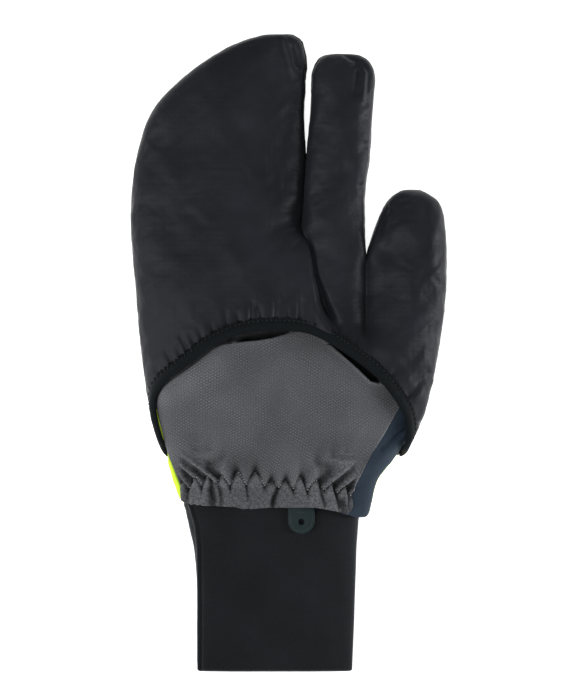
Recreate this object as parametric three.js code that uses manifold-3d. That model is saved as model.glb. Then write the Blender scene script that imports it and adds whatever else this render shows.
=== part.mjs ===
// A right-hand winter cycling glove with a windproof cover drawn over its fingers, lying palm up.
// The frame is in millimetres: +Y runs from the cuff to the fingertips, +X towards the thumb, +Z up out of
// the palm.
// The origin is on the surface that the glove lies on, below the middle of its outline.
import * as THREE from "three";
import { mergeVertices } from "three/addons/utils/BufferGeometryUtils.js";
import Module from "manifold-3d";

const wasm = await Module();
wasm.setup();

// Walls and gaps
const coverWall = 1.2; // coated nylon with a thin lining
const bindingProud = 0.5; // how far the elastic binding stands out of the cover
const bindingInside = 1.5; // from the cover's face to the inside of the binding
const bindingWidth = 5.8;
const handWall = 1.8; // lined and lightly padded panels
const cuffWall = 2; // stretch knit, folded double
const gap = 0.3; // between two pieces that are sewn together
const clearOfBinding = bindingInside + gap; // from the cover's face to the hand inside it

// Heights above the surface, and ends along Y
const seamHeight = 9; // the cover's side seam, where the glove is widest
const backSeamHeight = 7; // between the back of the hand and its other panels
const handWidest = 10; // where the hand's sections are widest
const cuffWidest = 8;
const crownBlend = 8; // dents and gathers grow to full depth over this height above the widest place
const coverEnd = -48; // where the back of the cover is sewn down
const cuffEnd = -143.7;
const cuffTop = -47; // inside the hand
const rimBeyondHem = 9; // how far the hand runs on under the cover, past the binding

// Rows of numbers under named columns
const table = (columns, rows) => rows.map(
  (row) => Object.fromEntries(columns.map((name, i) => [name, row[i]])),
);

// Each finger part of the cover is a row of rungs, from its left outline to its right one.
// top is the height of the crown there, and bottom that of the flattened underside.
const rung = ["leftX", "leftY", "rightX", "rightY", "top", "bottom"];

// Over the middle, ring and little fingers
const mittenRungs = table(rung, [
  [-49, -62, 12, -62, 25.5, 0],
  [-59.2, -36, 22, -36, 28, 0],
  [-65.2, -8, 30, -8, 28.5, 0],
  [-68.6, 28, 25, 28, 26.5, 0],
  [-70.7, 56, 8.8, 56, 24, 0],
  [-69.2, 83, 8.2, 83, 22, 0],
  [-62.2, 107, 8.2, 107, 20.5, 0],
  [-48.4, 123, 8.3, 122.5, 18.5, 0.4],
  [-29.8, 136.2, 8, 134.5, 16, 2.2],
  [-15.5, 142.2, 5.8, 141.3, 13, 5],
  [-6, 143.8, 1, 143.7, 10.4, 7.6],
]);
const indexRungs = table(rung, [
  [-6, -58, 40, -58, 24, 0],
  [-4, -30, 46, -30, 27, 0],
  [2, -4, 50, -4, 27.5, 0],
  [7.4, 20, 47, 20, 25, 0],
  [8.8, 44, 36.6, 44, 22, 0],
  [8.6, 64, 34.6, 64, 20.5, 0],
  [8.9, 92, 37, 92, 19.5, 0],
  [10.3, 117, 39, 117, 18.5, 0],
  [11.8, 127.4, 38.9, 127, 16.5, 1.2],
  [14.4, 132.8, 35.8, 132.4, 14, 4],
  [18.6, 134.8, 30.4, 134.8, 10.8, 7.4],
]);
const thumbRungs = table(rung, [
  [12, -60, 38, -60, 23, 0],
  [18, -44, 53.2, -44, 25, 0],
  [21, -27, 61.6, -27, 26.4, 0],
  [24, -2, 67.5, -2, 26.4, 0],
  [28.5, 22, 70.8, 22, 24.5, 0],
  [36, 43, 71.6, 43, 22, 0],
  [39.9, 57.5, 70.9, 57, 20, 0.2],
  [43, 65.5, 69, 66.5, 17.2, 1.8],
  [47.2, 71, 63.6, 71.6, 13.6, 4.8],
  [51.6, 73.5, 58.4, 73.6, 10.6, 7.6],
]);

// Soft dents that the loose cover takes, each along a line
const coverDents = table(["x", "y", "toX", "toY", "width", "depth"], [
  [-2, 139, 5, 119, 5, 1.4],
  [6, 62, -14, 50, 5, 1],
  [-66, 96, -44, 92, 8, 0.9],
  [-20, 100, 0, 92, 8, 0.7],
  [31, 131, 27, 112, 4.5, 1],
  [24, 84, 31, 60, 5, 0.7],
  [42, 66, 46, 44, 4.5, 1.2],
  [66, 8, 52, -12, 6, 1],
  [-34, 14, -48, 30, 7, 0.8],
]);

// The hand of the glove, from the frilled wrist to its rim under the cover.
// fold is the depth of the gathers in the palm as a share of each fold's own.
const handSections = table(["y", "left", "right", "top", "bottom", "wall", "fold"], [
  [-77, -45.2, 36, 22.6, 0, 2.6, 0.8],
  [-72, -46.5, 37, 23, 0, 2.6, 0.9],
  [-69, -47.3, 37.7, 23.1, 0, 2.7, 0.95],
  [-66, -48.3, 38.4, 22.8, 0, 2.8, 1],
  [-63, -49.4, 39, 22.2, 0, 2.9, 1],
  [-60, -50.4, 39.8, 22, 0.3, 2.9, 1],
  [-57, -51.2, 41, 22.5, 0.8, 2.7, 0.9],
  [-54, -52.3, 43.2, 23.1, 1.2, 2.4, 0.65],
  [-50, -53.4, 46.6, 23.8, 1.6, 2, 0.35],
  [-44, -54.6, 51, 24.5, 1.6, 1.8, 0.12],
  [-36, -57.6, 56, 24.9, 1.6, 1.8, 0],
  [-20, -62, 61, 24.9, 1.6, 1.8, 0],
  [2, -65.4, 65.6, 22.6, 1.6, 1.8, 0],
  [28, -68, 69, 17, 1.6, 1.8, 0],
]);

// The gathers in the palm: where each crease crosses the elastic and the frilled edge, how far it leans
// towards the thumb for each millimetre above the elastic, and its depth
const gathers = table(["x", "edgeX", "lean", "depth"], [
  [-44.5, -44, -0.6, 1.1],
  [-39.3, -39.5, -0.6, 1.3],
  [-33.3, -33.3, -0.4, 1.8],
  [-25.8, -26.5, -0.2, 1.2],
  [-18.1, -17.8, 0, 1.5],
  [-10.4, -11, 0.1, 1.1],
  [-4.3, -6.9, 0.2, 2],
  [2.9, 3, 0.3, 0.9],
  [8.6, 9.5, 0.5, 1.2],
  [15.8, 18, 0.8, 1.4],
  [21.8, 23.5, 1, 1.4],
  [27.2, 28, 1.2, 1.1],
]);
const creaseWidth = 2;
const puffHeight = 0.6; // how far the cloth stands up between two creases
const elasticY = (x) => -60.4 - 0.07 * (x + 5);
const edgeBelowElastic = 9;
const pinchDepth = 1.5; // how far the elastic draws the palm in
const pinchWidth = 2.4;
const palmEdgeFade = 4; // the gathers die out over this width past the last crease
const liningPinch = 0.8; // the share of the pinch that the inside of the palm follows

const cuffSections = table(["y", "left", "right", "top", "bottom"], [
  [cuffEnd, -39.5, 28.2, 12.2, 0.5],
  [cuffEnd + 1.2, -40.3, 29, 12.9, 0],
  [-126, -40.7, 29.6, 13.8, 0],
  [-102, -41.3, 30.6, 15, 0],
  [-88, -42.5, 31.1, 16, 0],
  [-76, -45, 31.6, 17, 1.6],
  [-71, -45.9, 32.2, 17.3, 2.4],
  [-66, -44.6, 33, 17.4, 2.8],
  [-60, -46.9, 35.4, 17.7, 3.2],
  [-54, -49, 39, 18.4, 3.7],
  [-46, -50.6, 44, 19.6, 4.2],
]);

// The cover's open edge over the palm, from the outer side of the wrist round to the thumb side
const hemPoints = table(["x", "y"], [
  [-54.4, -49.5],
  [-57, -35.5],
  [-59, -23],
  [-55.5, -14.2],
  [-44.5, -5.8],
  [-32.6, 3.2],
  [-20, 8.4],
  [-5, 10],
  [10, 8.2],
  [24, 0.6],
  [38.9, -10.6],
  [49.3, -23.5],
  [53.6, -33],
  [52.4, -44],
  [50, -49.5],
]);

// The seams of the hand as seen from above, each from the wrist towards the fingers
const outerSeam = table(["x", "y"], [
  [-46.6, -80], [-47.4, -68], [-49, -60], [-54.8, -43.6], [-59.3, -25], [-62, -8], [-64, 30],
]);
const thumbSeam = table(["x", "y"], [
  [28.4, -80], [28.4, -64], [37.1, -48], [49.5, -26], [60, -8], [68, 8],
]);
// The frilled end of the palm, and the rounded corner of the thumb-side panel
const wristEdge = table(["x", "y"], [
  [-60, -66.4], [-47, -66.8], [-39, -68.2], [-24, -68.8], [-12, -69.2], [-6.8, -70.4], [-1, -69.5],
  [11.6, -69.5], [20.7, -71.2], [26, -73], [29, -74.3], [33.7, -74.3], [36.4, -72.4], [38, -68], [60, -60],
]);

const pullTab = {
  x: 6,
  width: 12,
  thickness: 1.2,
  sewnY: -66,
  roundY: -75.4,
  holeY: -76,
  holeRadius: 1.3,
  z: 17.7,
  slope: 0.045,
};

const far = 200;
const { lerp, smoothstep, clamp } = THREE.MathUtils;
const bell = (distance, width) => Math.exp(-((distance / width) ** 2));

// The value of one column between its rows, on a smooth curve through them
function column(rows, name, at) {
  const i = Math.min(Math.floor(at), rows.length - 2);
  const value = (k) => rows[clamp(k, 0, rows.length - 1)][name];
  const slope = (k) => (value(k + 1) - value(k - 1)) / 2;
  const t = at - i;
  const t2 = t * t;
  const t3 = t2 * t;
  return (2 * t3 - 3 * t2 + 1) * value(i) + (t3 - 2 * t2 + t) * slope(i)
    + (3 * t2 - 2 * t3) * value(i + 1) + (t3 - t2) * slope(i + 1);
}

// A ring of points round one section, from the thumb side over the crown and back along the underside
const crownPower = 2.5;
const underPower = 3.2;
const underBulge = 1.25; // how much deeper the underside would hang if nothing held it up
function ring({ left, right, seam, top, bottom }, crownStations, underSteps) {
  const centre = left.clone().add(right).multiplyScalar(0.5);
  const half = right.clone().sub(left).multiplyScalar(0.5);
  const at = (across, z) => new THREE.Vector3(centre.x + half.x * across, centre.y + half.y * across, z);
  const crown = crownStations.map((across) => {
    const up = (1 - Math.abs(across) ** crownPower) ** (1 / crownPower);
    return at(across, seam + (top - seam) * up);
  });
  const under = Array.from({ length: underSteps }, (_, i) => {
    const angle = (Math.PI * i) / underSteps;
    const across = -Math.sign(Math.cos(angle)) * Math.abs(Math.cos(angle)) ** (2 / underPower);
    const down = Math.sin(angle) ** (2 / underPower);
    return at(across, Math.max(bottom, seam - (seam - bottom) * underBulge * down));
  });
  return [...crown, ...under];
}

// Stations across the crown, close together at the sides, where it turns down
const roundStations = (steps) => Array.from({ length: steps }, (_, i) => {
  const c = Math.cos((Math.PI * i) / steps);
  return Math.sign(c) * Math.abs(c) ** (2 / crownPower);
});

// Stations across the crown, evenly spaced but for a few at the sides
function evenStations(steps) {
  const side = [1, 0.985, 0.955];
  const middle = Array.from({ length: steps }, (_, i) => lerp(0.91, -0.91, i / (steps - 1)));
  return [...side, ...middle, ...side.slice(1).reverse().map((s) => -s)];
}

// Closes a stack of rings of equal length into one body, with a fan over each end.
function skin(rings) {
  const count = rings[0].length;
  const positions = rings.flat().flatMap((p) => p.toArray());
  const index = [];
  for (let i = 0; i + 1 < rings.length; i++) {
    for (let j = 0; j < count; j++) {
      const a = i * count + j;
      const b = i * count + ((j + 1) % count);
      index.push(a, b + count, b, a, a + count, b + count);
    }
  }
  for (const [end, last] of [[0, false], [rings.length - 1, true]]) {
    const middle = new THREE.Vector3();
    rings[end].forEach((p) => middle.addScaledVector(p, 1 / count));
    positions.push(...middle.toArray());
    const hub = positions.length / 3 - 1;
    for (let j = 0; j < count; j++) {
      const a = end * count + j;
      const b = end * count + ((j + 1) % count);
      index.push(...(last ? [hub, b, a] : [hub, a, b]));
    }
  }
  const geometry = new THREE.BufferGeometry();
  geometry.setAttribute("position", new THREE.Float32BufferAttribute(positions, 3));
  geometry.setIndex(index);
  return geometry;
}

// Moves each point of a stack of rings out along the surface's normal.
function offsetRings(rings, distance) {
  const count = rings[0].length;
  const at = (i, j) => rings[clamp(i, 0, rings.length - 1)][(j + count) % count];
  return rings.map((points, i) => points.map((p, j) => {
    const along = at(i + 1, j).clone().sub(at(i - 1, j));
    const around = at(i, j + 1).clone().sub(at(i, j - 1));
    return p.clone().addScaledVector(along.cross(around).normalize(), distance);
  }));
}

function solid(geometry) {
  geometry.deleteAttribute("normal");
  geometry.deleteAttribute("uv");
  const merged = mergeVertices(geometry, 1e-4);
  return new wasm.Manifold(new wasm.Mesh({
    numProp: 3,
    vertProperties: new Float32Array(merged.attributes.position.array),
    triVerts: new Uint32Array(merged.index.array),
  }));
}

const joined = (solids) => solids.reduce((all, one) => all.add(one));

// A prism over an outline seen from above, between two heights
function prism(points, low = -far, high = far) {
  const shape = new THREE.Shape(points.map(({ x, y }) => new THREE.Vector2(x, y)));
  const geometry = new THREE.ExtrudeGeometry(shape, { depth: high - low, bevelEnabled: false });
  geometry.translate(0, 0, low);
  return solid(geometry);
}

function block(fromY, toY, low, high) {
  const corners = [{ x: -far, y: fromY }, { x: far, y: fromY }, { x: far, y: toY }, { x: -far, y: toY }];
  return prism(corners, low, high);
}
const slab = (low, high) => block(-far, far, low, high);

// How far the dents lower the cover's crown at a point
function dentAt(p) {
  let depth = 0;
  for (const { x, y, toX, toY, width, depth: deepest } of coverDents) {
    const line = new THREE.Line3(new THREE.Vector3(x, y, 0), new THREE.Vector3(toX, toY, 0));
    const nearest = line.closestPointToPoint(new THREE.Vector3(p.x, p.y, 0), true, new THREE.Vector3());
    depth += deepest * bell(Math.hypot(nearest.x - p.x, nearest.y - p.y), width);
  }
  return depth;
}

// One finger part of the cover, grown or shrunk by a distance
function lobe(rungs, distance, { steps, crownSteps, underSteps }) {
  const stations = roundStations(crownSteps);
  const rings = [];
  for (let k = 0; k <= (rungs.length - 1) * steps; k++) {
    const at = (name) => column(rungs, name, k / steps);
    const left = new THREE.Vector2(at("leftX"), at("leftY"));
    const right = new THREE.Vector2(at("rightX"), at("rightY"));
    const heights = { seam: seamHeight, top: at("top"), bottom: Math.max(0, at("bottom")) };
    const points = ring({ left, right, ...heights }, stations, underSteps);
    for (const p of points) {
      const onCrown = smoothstep(p.z, seamHeight, seamHeight + crownBlend);
      p.z -= onCrown * dentAt(p);
    }
    rings.push(points);
  }
  return solid(skin(offsetRings(rings, distance)));
}

const fine = { steps: 2, crownSteps: 16, underSteps: 8 };
const coarse = { steps: 1, crownSteps: 12, underSteps: 6 };
const lobes = [mittenRungs, indexRungs, thumbRungs];
const coverBody = (distance, detail) => joined(lobes.map((rungs) => lobe(rungs, distance, detail)));

// The cover's open edge moved along its normal, as an outline that takes in the whole opening
const hemLine = new THREE.SplineCurve(hemPoints.map(({ x, y }) => new THREE.Vector2(x, y)));
function hemMoved(distance) {
  const steps = 40;
  const points = [];
  for (let i = 0; i <= steps; i++) {
    const p = hemLine.getPoint(i / steps);
    const t = hemLine.getTangent(i / steps);
    points.push({ x: p.x - t.y * distance, y: p.y + t.x * distance });
  }
  return [{ x: points[0].x, y: -far }, ...points, { x: points[steps].x, y: -far }];
}

function buildCover() {
  const aboveSeam = slab(seamHeight + gap / 2, far);
  const shell = coverBody(0, fine).subtract(coverBody(-coverWall, coarse)).intersect(block(coverEnd, far));
  const band = coverBody(bindingProud, fine).subtract(coverBody(-bindingInside, coarse));
  const tape = band.intersect(block(coverEnd, far)).intersect(aboveSeam);
  return {
    cover_palm: shell.intersect(aboveSeam).subtract(prism(hemMoved(bindingWidth + gap))),
    cover_back: shell.intersect(slab(-far, seamHeight - gap / 2)),
    cover_binding: tape.intersect(prism(hemMoved(bindingWidth))).subtract(prism(hemMoved(0))),
  };
}

// How far the gathers lower the palm at a point near the wrist
function gatherAt(x, y) {
  const above = y - elasticY(x);
  let depth = 0;
  for (const fold of gathers) {
    const leaning = fold.x + fold.lean * above;
    const inFrill = lerp(fold.x, fold.edgeX, -above / edgeBelowElastic);
    depth += fold.depth * bell(x - (above > 0 ? leaning : inFrill), creaseWidth);
  }
  return { crease: depth - puffHeight, pinch: pinchDepth * bell(above, pinchWidth) };
}

// A tube through a table of sections that each stand across Y
function tube(sections, { inset, stations, underSteps, seam, foldShare = 0, pinchShare = 0 }) {
  return solid(skin(sections.map(({ y, left, right, top, bottom, wall = inset, fold }) => {
    const section = {
      left: new THREE.Vector2(left + inset, y),
      right: new THREE.Vector2(right - inset, y),
      seam,
      top: inset ? top - wall : top,
      bottom: bottom + inset,
    };
    const points = ring(section, stations, underSteps);
    for (const p of points) {
      const lastX = gathers.at(-1).x;
      const fade = 1 - smoothstep(p.x, lastX, lastX + palmEdgeFade);
      const onPalm = fade * smoothstep(p.z, seam, seam + crownBlend);
      const { crease, pinch } = gatherAt(p.x, y);
      if (fold) p.z -= onPalm * (foldShare * fold * crease + pinchShare * pinch);
    }
    return points;
  })));
}

function buildHand() {
  const shape = { underSteps: 10, seam: handWidest };
  const face = { inset: 0, stations: evenStations(44), foldShare: 1, pinchShare: 1 };
  const lining = { inset: handWall, stations: evenStations(12), pinchShare: liningPinch };
  const outside = tube(handSections, { ...shape, ...face });
  const inside = tube(handSections, { ...shape, ...lining });
  // Under the cover the hand follows the cover's inside, and it is free in the opening and below the cover.
  const inOpening = prism(hemMoved(-gap), seamHeight + gap / 2, far);
  const room = coverBody(-clearOfBinding, coarse).add(inOpening).add(block(-far, coverEnd - gap));
  const towardsFingers = [
    { x: far, y: wristEdge.at(-1).y },
    { x: far, y: far },
    { x: -far, y: far },
    { x: -far, y: wristEdge[0].y },
  ];
  const wrist = prism([...wristEdge, ...towardsFingers]);
  const rim = prism(hemMoved(bindingWidth + rimBeyondHem));
  const wall = outside.intersect(room).subtract(inside).intersect(rim).intersect(wrist);
  // All that lies on one side of a seam, with the seam shifted along X
  const beside = (seam, shift, side) => prism([
    ...seam.map(({ x, y }) => ({ x: x + shift, y })),
    { x: side, y: seam.at(-1).y },
    { x: side, y: seam[0].y },
  ]);
  const outerSide = (shift) => beside(outerSeam, shift, -far);
  const thumbSide = (shift) => beside(thumbSeam, shift, far);
  const backRegion = slab(-far, backSeamHeight).add(outerSide(0));
  const front = wall.subtract(slab(-far, backSeamHeight + gap)).subtract(outerSide(gap));
  return {
    back_panel: wall.intersect(backRegion),
    side_gusset: front.intersect(thumbSide(gap)),
    palm_panel: front.subtract(thumbSide(0)),
  };
}

function buildCuff() {
  const shape = { stations: roundStations(20), underSteps: 12, seam: cuffWidest };
  const outside = tube(cuffSections, { ...shape, inset: 0 });
  const mouth = { ...cuffSections[0], y: cuffEnd - cuffWall }; // the hollow runs out past the folded end
  const inside = tube([mouth, ...cuffSections], { ...shape, inset: cuffWall });
  return { wrist_cuff: outside.subtract(inside).intersect(block(-far, cuffTop)) };
}

function buildTab() {
  const { x, width, thickness, sewnY, roundY, holeY, holeRadius, z, slope } = pullTab;
  const shape = new THREE.Shape();
  shape.moveTo(x - width / 2, sewnY);
  shape.lineTo(x - width / 2, roundY);
  shape.absarc(x, roundY, width / 2, Math.PI, 2 * Math.PI, false);
  shape.lineTo(x + width / 2, sewnY);
  const eye = new THREE.Path();
  eye.absarc(x, holeY, holeRadius, 0, 2 * Math.PI, true);
  shape.holes.push(eye);
  const plain = { depth: thickness, bevelEnabled: false, curveSegments: 10 };
  const geometry = new THREE.ExtrudeGeometry(shape, plain);
  geometry.translate(0, -sewnY, 0);
  geometry.rotateX(slope);
  geometry.translate(0, sewnY, z);
  return { pull_tab: solid(geometry) };
}

const nylon = { color: 0x27282c, roughness: 0.55, metalness: 0 };
const finishes = {
  cover_palm: nylon,
  cover_back: nylon,
  cover_binding: { color: 0x14181b, roughness: 0.85, metalness: 0 },
  palm_panel: { color: 0x58595c, roughness: 0.9, metalness: 0 },
  back_panel: { color: 0xd3f53a, roughness: 0.8, metalness: 0 },
  side_gusset: { color: 0x2f3b47, roughness: 0.85, metalness: 0 },
  wrist_cuff: { color: 0x1d1e21, roughness: 0.95, metalness: 0 },
  pull_tab: { color: 0x28383a, roughness: 0.6, metalness: 0 },
};

const glove = new THREE.Group();
glove.name = "cycling_glove";
const pieces = { ...buildCover(), ...buildHand(), ...buildCuff(), ...buildTab() };
for (const [name, made] of Object.entries(pieces)) {
  // A cut can leave a crumb beside the piece, so only its largest body is kept.
  const largest = made.decompose().reduce((a, b) => (b.volume() > a.volume() ? b : a));
  const { vertProperties, triVerts } = largest.getMesh();
  const geometry = new THREE.BufferGeometry();
  geometry.setAttribute("position", new THREE.BufferAttribute(new Float32Array(vertProperties), 3));
  geometry.setIndex(new THREE.BufferAttribute(new Uint32Array(triVerts), 1));
  geometry.computeVertexNormals();
  const mesh = new THREE.Mesh(geometry, new THREE.MeshStandardMaterial(finishes[name]));
  mesh.name = name;
  glove.add(mesh);
}

// The tables are drawn from the middle of the wrist, so the whole glove moves to the middle of its outline.
const outline = new THREE.Box3().setFromObject(glove);
const middle = outline.getCenter(new THREE.Vector3());
glove.position.set(-middle.x, -middle.y, -outline.min.z);

export default glove;
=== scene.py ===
# A winter cycling glove lying palm up, with its windproof cover drawn over the fingers.
# The pieces are drawn in millimetres from the middle of the wrist, and placed in the frame in metres.
import math

import bmesh
import bpy
import numpy as np
from mathutils import Matrix, Vector
from mathutils.bvhtree import BVHTree


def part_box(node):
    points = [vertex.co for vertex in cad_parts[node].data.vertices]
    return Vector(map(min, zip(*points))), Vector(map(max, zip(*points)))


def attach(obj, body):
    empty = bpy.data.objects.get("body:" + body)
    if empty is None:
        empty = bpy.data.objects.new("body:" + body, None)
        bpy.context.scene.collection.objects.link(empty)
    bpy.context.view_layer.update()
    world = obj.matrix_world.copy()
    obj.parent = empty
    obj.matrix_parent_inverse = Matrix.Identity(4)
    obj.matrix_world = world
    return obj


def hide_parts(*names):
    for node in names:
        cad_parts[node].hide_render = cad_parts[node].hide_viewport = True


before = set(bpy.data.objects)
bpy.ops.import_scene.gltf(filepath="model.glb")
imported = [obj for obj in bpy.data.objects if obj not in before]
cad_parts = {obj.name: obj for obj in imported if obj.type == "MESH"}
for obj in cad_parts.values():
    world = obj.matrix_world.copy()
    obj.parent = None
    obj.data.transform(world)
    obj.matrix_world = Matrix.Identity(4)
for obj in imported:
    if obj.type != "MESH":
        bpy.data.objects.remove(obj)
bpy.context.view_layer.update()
print("frame loaded with", len(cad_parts), "CAD nodes")

mm = 0.001

# The drawing is set in the frame by two of its own features: the tab's middle and the cuff's folded end.
drawing = {"tabX": 6.0, "cuffEnd": -143.7, "farAbove": 60.0}
tabLow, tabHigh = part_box("pull_tab")
cuffLow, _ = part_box("wrist_cuff")
shift = np.array([
    (tabLow.x + tabHigh.x) / 2 / mm - drawing["tabX"], cuffLow.y / mm - drawing["cuffEnd"], 0.0,
])

# The sections of the cover's parts, the hand and the cuff are ovals, flattened underneath where they lie
section = {
    "crownPower": 2.5,  # roundness of the upper half
    "underPower": 3.2,
    "underBulge": 1.25,  # how much deeper the underside would hang if nothing held it up
}


# Small sums used all over

def smooth(x, low, high):
    t = np.clip((x - low) / (high - low), 0, 1)
    return t * t * (3 - 2 * t)


def window(x, rise, fall):  # goes up to 1 over the first range and back to 0 over the second
    return smooth(x, *rise) * (1 - smooth(x, *fall))


def bell(distance, width):
    return np.exp(-((distance / width) ** 2))


def between(points, x):  # a second column read at x on straight lines between (x, value) points
    table = np.array(points, float)
    return np.interp(x, table[:, 0], table[:, 1])


def alongRows(rows, at):  # the columns of a table read between its rows, on smooth curves
    rows = np.asarray(rows, float)
    last = len(rows) - 1
    at = np.clip(at, 0, last)
    i = np.minimum(at.astype(int), last - 1)
    t = (at - i)[:, None]
    before, a, b, after = (rows[np.clip(i + k, 0, last)] for k in (-1, 0, 1, 2))
    rise = t * t * (3 - 2 * t)
    value = (1 - rise) * a + rise * b
    value += (t ** 3 - 2 * t ** 2 + t) * (b - before) / 2 + (t ** 3 - t ** 2) * (after - a) / 2
    return value.T


def sectionAt(table, y):  # the other columns of a table whose first column is y
    at = np.interp(y, [row[0] for row in table], np.arange(len(table)))
    return alongRows([row[1:] for row in table], at)


def oval(angle, widest, top, bottom, crownPower):  # share of the width, 0 to 1, and height, round a section
    c, s = np.cos(angle), np.sin(angle)
    crown = s >= 0
    power = np.where(crown, crownPower, section["underPower"])
    across = np.sign(c) * np.abs(c) ** (2 / power)
    lift = np.abs(s) ** (2 / power)
    under = np.maximum(bottom, widest - (widest - bottom) * section["underBulge"] * lift)
    return (1 + across) / 2, np.where(crown, widest + (top - widest) * lift, under)


def toLine(x, y, fromX, fromY, toX, toY):  # distance to a line seen from above, and how far along it, 0 to 1
    dx, dy = toX - fromX, toY - fromY
    t = np.clip(((x - fromX) * dx + (y - fromY) * dy) / (dx * dx + dy * dy), 0, 1)
    return np.hypot(x - fromX - t * dx, y - fromY - t * dy), t


def fromPath(x, y, path):  # signed distance to a path, more than 0 on its left hand, and how far along it
    best = np.full(x.shape, np.inf)
    along = np.zeros(x.shape)
    for k, ((ax, ay), (bx, by)) in enumerate(zip(path[:-1], path[1:])):
        distance, t = toLine(x, y, ax, ay, bx, by)
        left = (bx - ax) * (y - ay) - (by - ay) * (x - ax) > 0
        nearer = distance < np.abs(best)
        best = np.where(nearer, np.where(left, distance, -distance), best)
        along = np.where(nearer, (k + t) / (len(path) - 1), along)
    return best, along


def foldedBy(x, y, folds):  # rows of fromX, fromY, toX, toY, width, depth; a ridge has a negative depth
    height = np.zeros_like(x)
    for *line, width, depth in folds:
        distance, t = toLine(x, y, *line)
        height -= depth * bell(distance, width * (0.7 + 0.6 * t))
    return height


def ripple(x, y, waves):  # soft unevenness in patches: rows of wavelengthX, wavelengthY, phase, height
    height = np.zeros_like(x)
    for waveX, waveY, phase, size in waves:
        turn = 2 * math.pi * (x / waveX + y / waveY) + phase
        across = 2 * math.pi * (x / waveY - y / waveX) / 1.7 + 2 * phase
        patchy = 1 + 0.6 * np.sin(across + np.sin(turn / 2))
        height += size * patchy * np.sin(turn + 0.8 * np.sin(turn * 0.37 + phase))
    return height


def spaced(path):  # the length along a path at each of its points
    return np.concatenate([[0], np.cumsum(np.linalg.norm(np.diff(path, axis=0), axis=1))])


# Meshes

def allOf(items, key, columns=3, kind=float):
    flat = np.empty(len(items) * columns, kind)
    items.foreach_get(key, flat)
    return flat.reshape(-1, columns)


def readPoints(mesh):
    return allOf(mesh.vertices, "co") / mm - shift


def readNormals(mesh):
    return allOf(mesh.vertices, "normal")


def writePoints(mesh, points):
    mesh.vertices.foreach_set("co", ((points + shift) * mm).ravel())
    mesh.update()


def toMesh(bm, name):
    mesh = bpy.data.meshes.new(name)
    bm.to_mesh(mesh)
    bm.free()
    return mesh


def newPiece(name, mesh):
    piece = bpy.data.objects.new(name, mesh)
    bpy.context.scene.collection.objects.link(piece)
    return piece


def applyAll(piece):  # the piece's modifiers become its mesh
    made = bpy.data.meshes.new_from_object(piece.evaluated_get(bpy.context.evaluated_depsgraph_get()))
    piece.modifiers.clear()
    made.name = piece.name
    piece.data = made
    return piece


def crowd(t, share):  # grid lines moved towards both ends
    return (1 - share) * t + share * (0.5 - 0.5 * np.cos(math.pi * t))


# A grid of net lines laid on place(u, v), with u and v from 0 to 1 and a UV map in millimetres of cloth.
# shape(points, normals, cloth) then moves it; cloth has the length from each of the grid's four edges.
def layGrid(name, net, place, shape=None, crowded=(0, 0), closed=False, clothUV=None):
    across, along = net
    bm = bmesh.new()
    bm.loops.layers.uv.new("cloth")
    bmesh.ops.create_grid(bm, x_segments=across, y_segments=along, size=0.5, calc_uvs=True)
    mesh = toMesh(bm, name)
    column, row = np.rint((allOf(mesh.vertices, "co")[:, :2] + 0.5) * net).astype(int).T
    laid = np.empty((along + 1, across + 1, 3))
    laid[row, column] = place(crowd(column / across, crowded[0]), crowd(row / along, crowded[1]))
    normals = np.cross(np.gradient(laid, axis=1), np.gradient(laid, axis=0))
    if closed:
        normals[:, 0] = normals[:, -1] = normals[:, 0] + normals[:, -1]
    normals /= np.linalg.norm(normals, axis=2, keepdims=True) + 1e-9
    steps = [np.linalg.norm(np.diff(laid, axis=axis), axis=2) for axis in (1, 0)]
    clothU = np.pad(np.cumsum(steps[0], axis=1), ((0, 0), (1, 0)))
    clothV = np.pad(np.cumsum(steps[1], axis=0), ((1, 0), (0, 0)))
    cloth = {"left": clothU, "right": clothU[:, -1:] - clothU, "start": clothV, "end": clothV[-1:] - clothV}
    cloth = {side: lengths[row, column] for side, lengths in cloth.items()}
    points = laid[row, column]
    uv = clothUV(points) if clothUV else np.stack(
        [cloth["left"] - clothU[:, across // 2][row], cloth["start"]], axis=1)
    if shape:
        points = shape(points, normals[row, column], cloth)
    writePoints(mesh, points)
    corners = allOf(mesh.loops, "vertex_index", 1, int)[:, 0]
    mesh.uv_layers["cloth"].data.foreach_set("uv", uv[corners].ravel())
    return newPiece(name, mesh)


def editMesh(piece, change):  # runs change(bm) on the piece's mesh
    bm = bmesh.new()
    bm.from_mesh(piece.data)
    change(bm)
    bm.to_mesh(piece.data)
    bm.free()
    piece.data.update()
    return piece


def mergeSeam(bm):
    bmesh.ops.remove_doubles(bm, verts=bm.verts, dist=0.01 * mm)


def closeEnds(bm):
    mergeSeam(bm)
    bmesh.ops.holes_fill(bm, edges=bm.edges, sides=0)


def rollEdges(points, normals, lengths, radius):  # the cloth turns in at an edge, as at a seam or a hem
    for length in lengths:
        t = np.clip(1 - length / radius, 0, 1)
        points = points - normals * (radius * (1 - np.sqrt(1 - np.minimum(t, 0.999) ** 2)))[:, None]
    return points


def thicken(piece, wall):
    solid = piece.modifiers.new("wall", "SOLIDIFY")
    solid.thickness = wall * mm
    solid.offset = -1
    solid.use_quality_normals = True
    return applyAll(piece)


def surfaceOf(piece):
    bm = bmesh.new()
    bm.from_mesh(piece.data)
    tree = BVHTree.FromBMesh(bm)
    bm.free()
    return tree


def nearestOn(skin, point):  # both in the drawing's millimetres, as in the next two
    found, normal, _, _ = skin.find_nearest(Vector((np.asarray(point) + shift) * mm))
    return np.array(found) / mm - shift, np.array(normal)


def topOf(skin, x, y):  # straight down on to a skin from far above, or None
    above = Vector((np.array([x, y, drawing["farAbove"]]) + shift) * mm)
    found, normal, _, _ = skin.ray_cast(above, Vector((0, 0, -1)))
    return None if found is None else (np.array(found) / mm - shift, np.array(normal))


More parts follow.
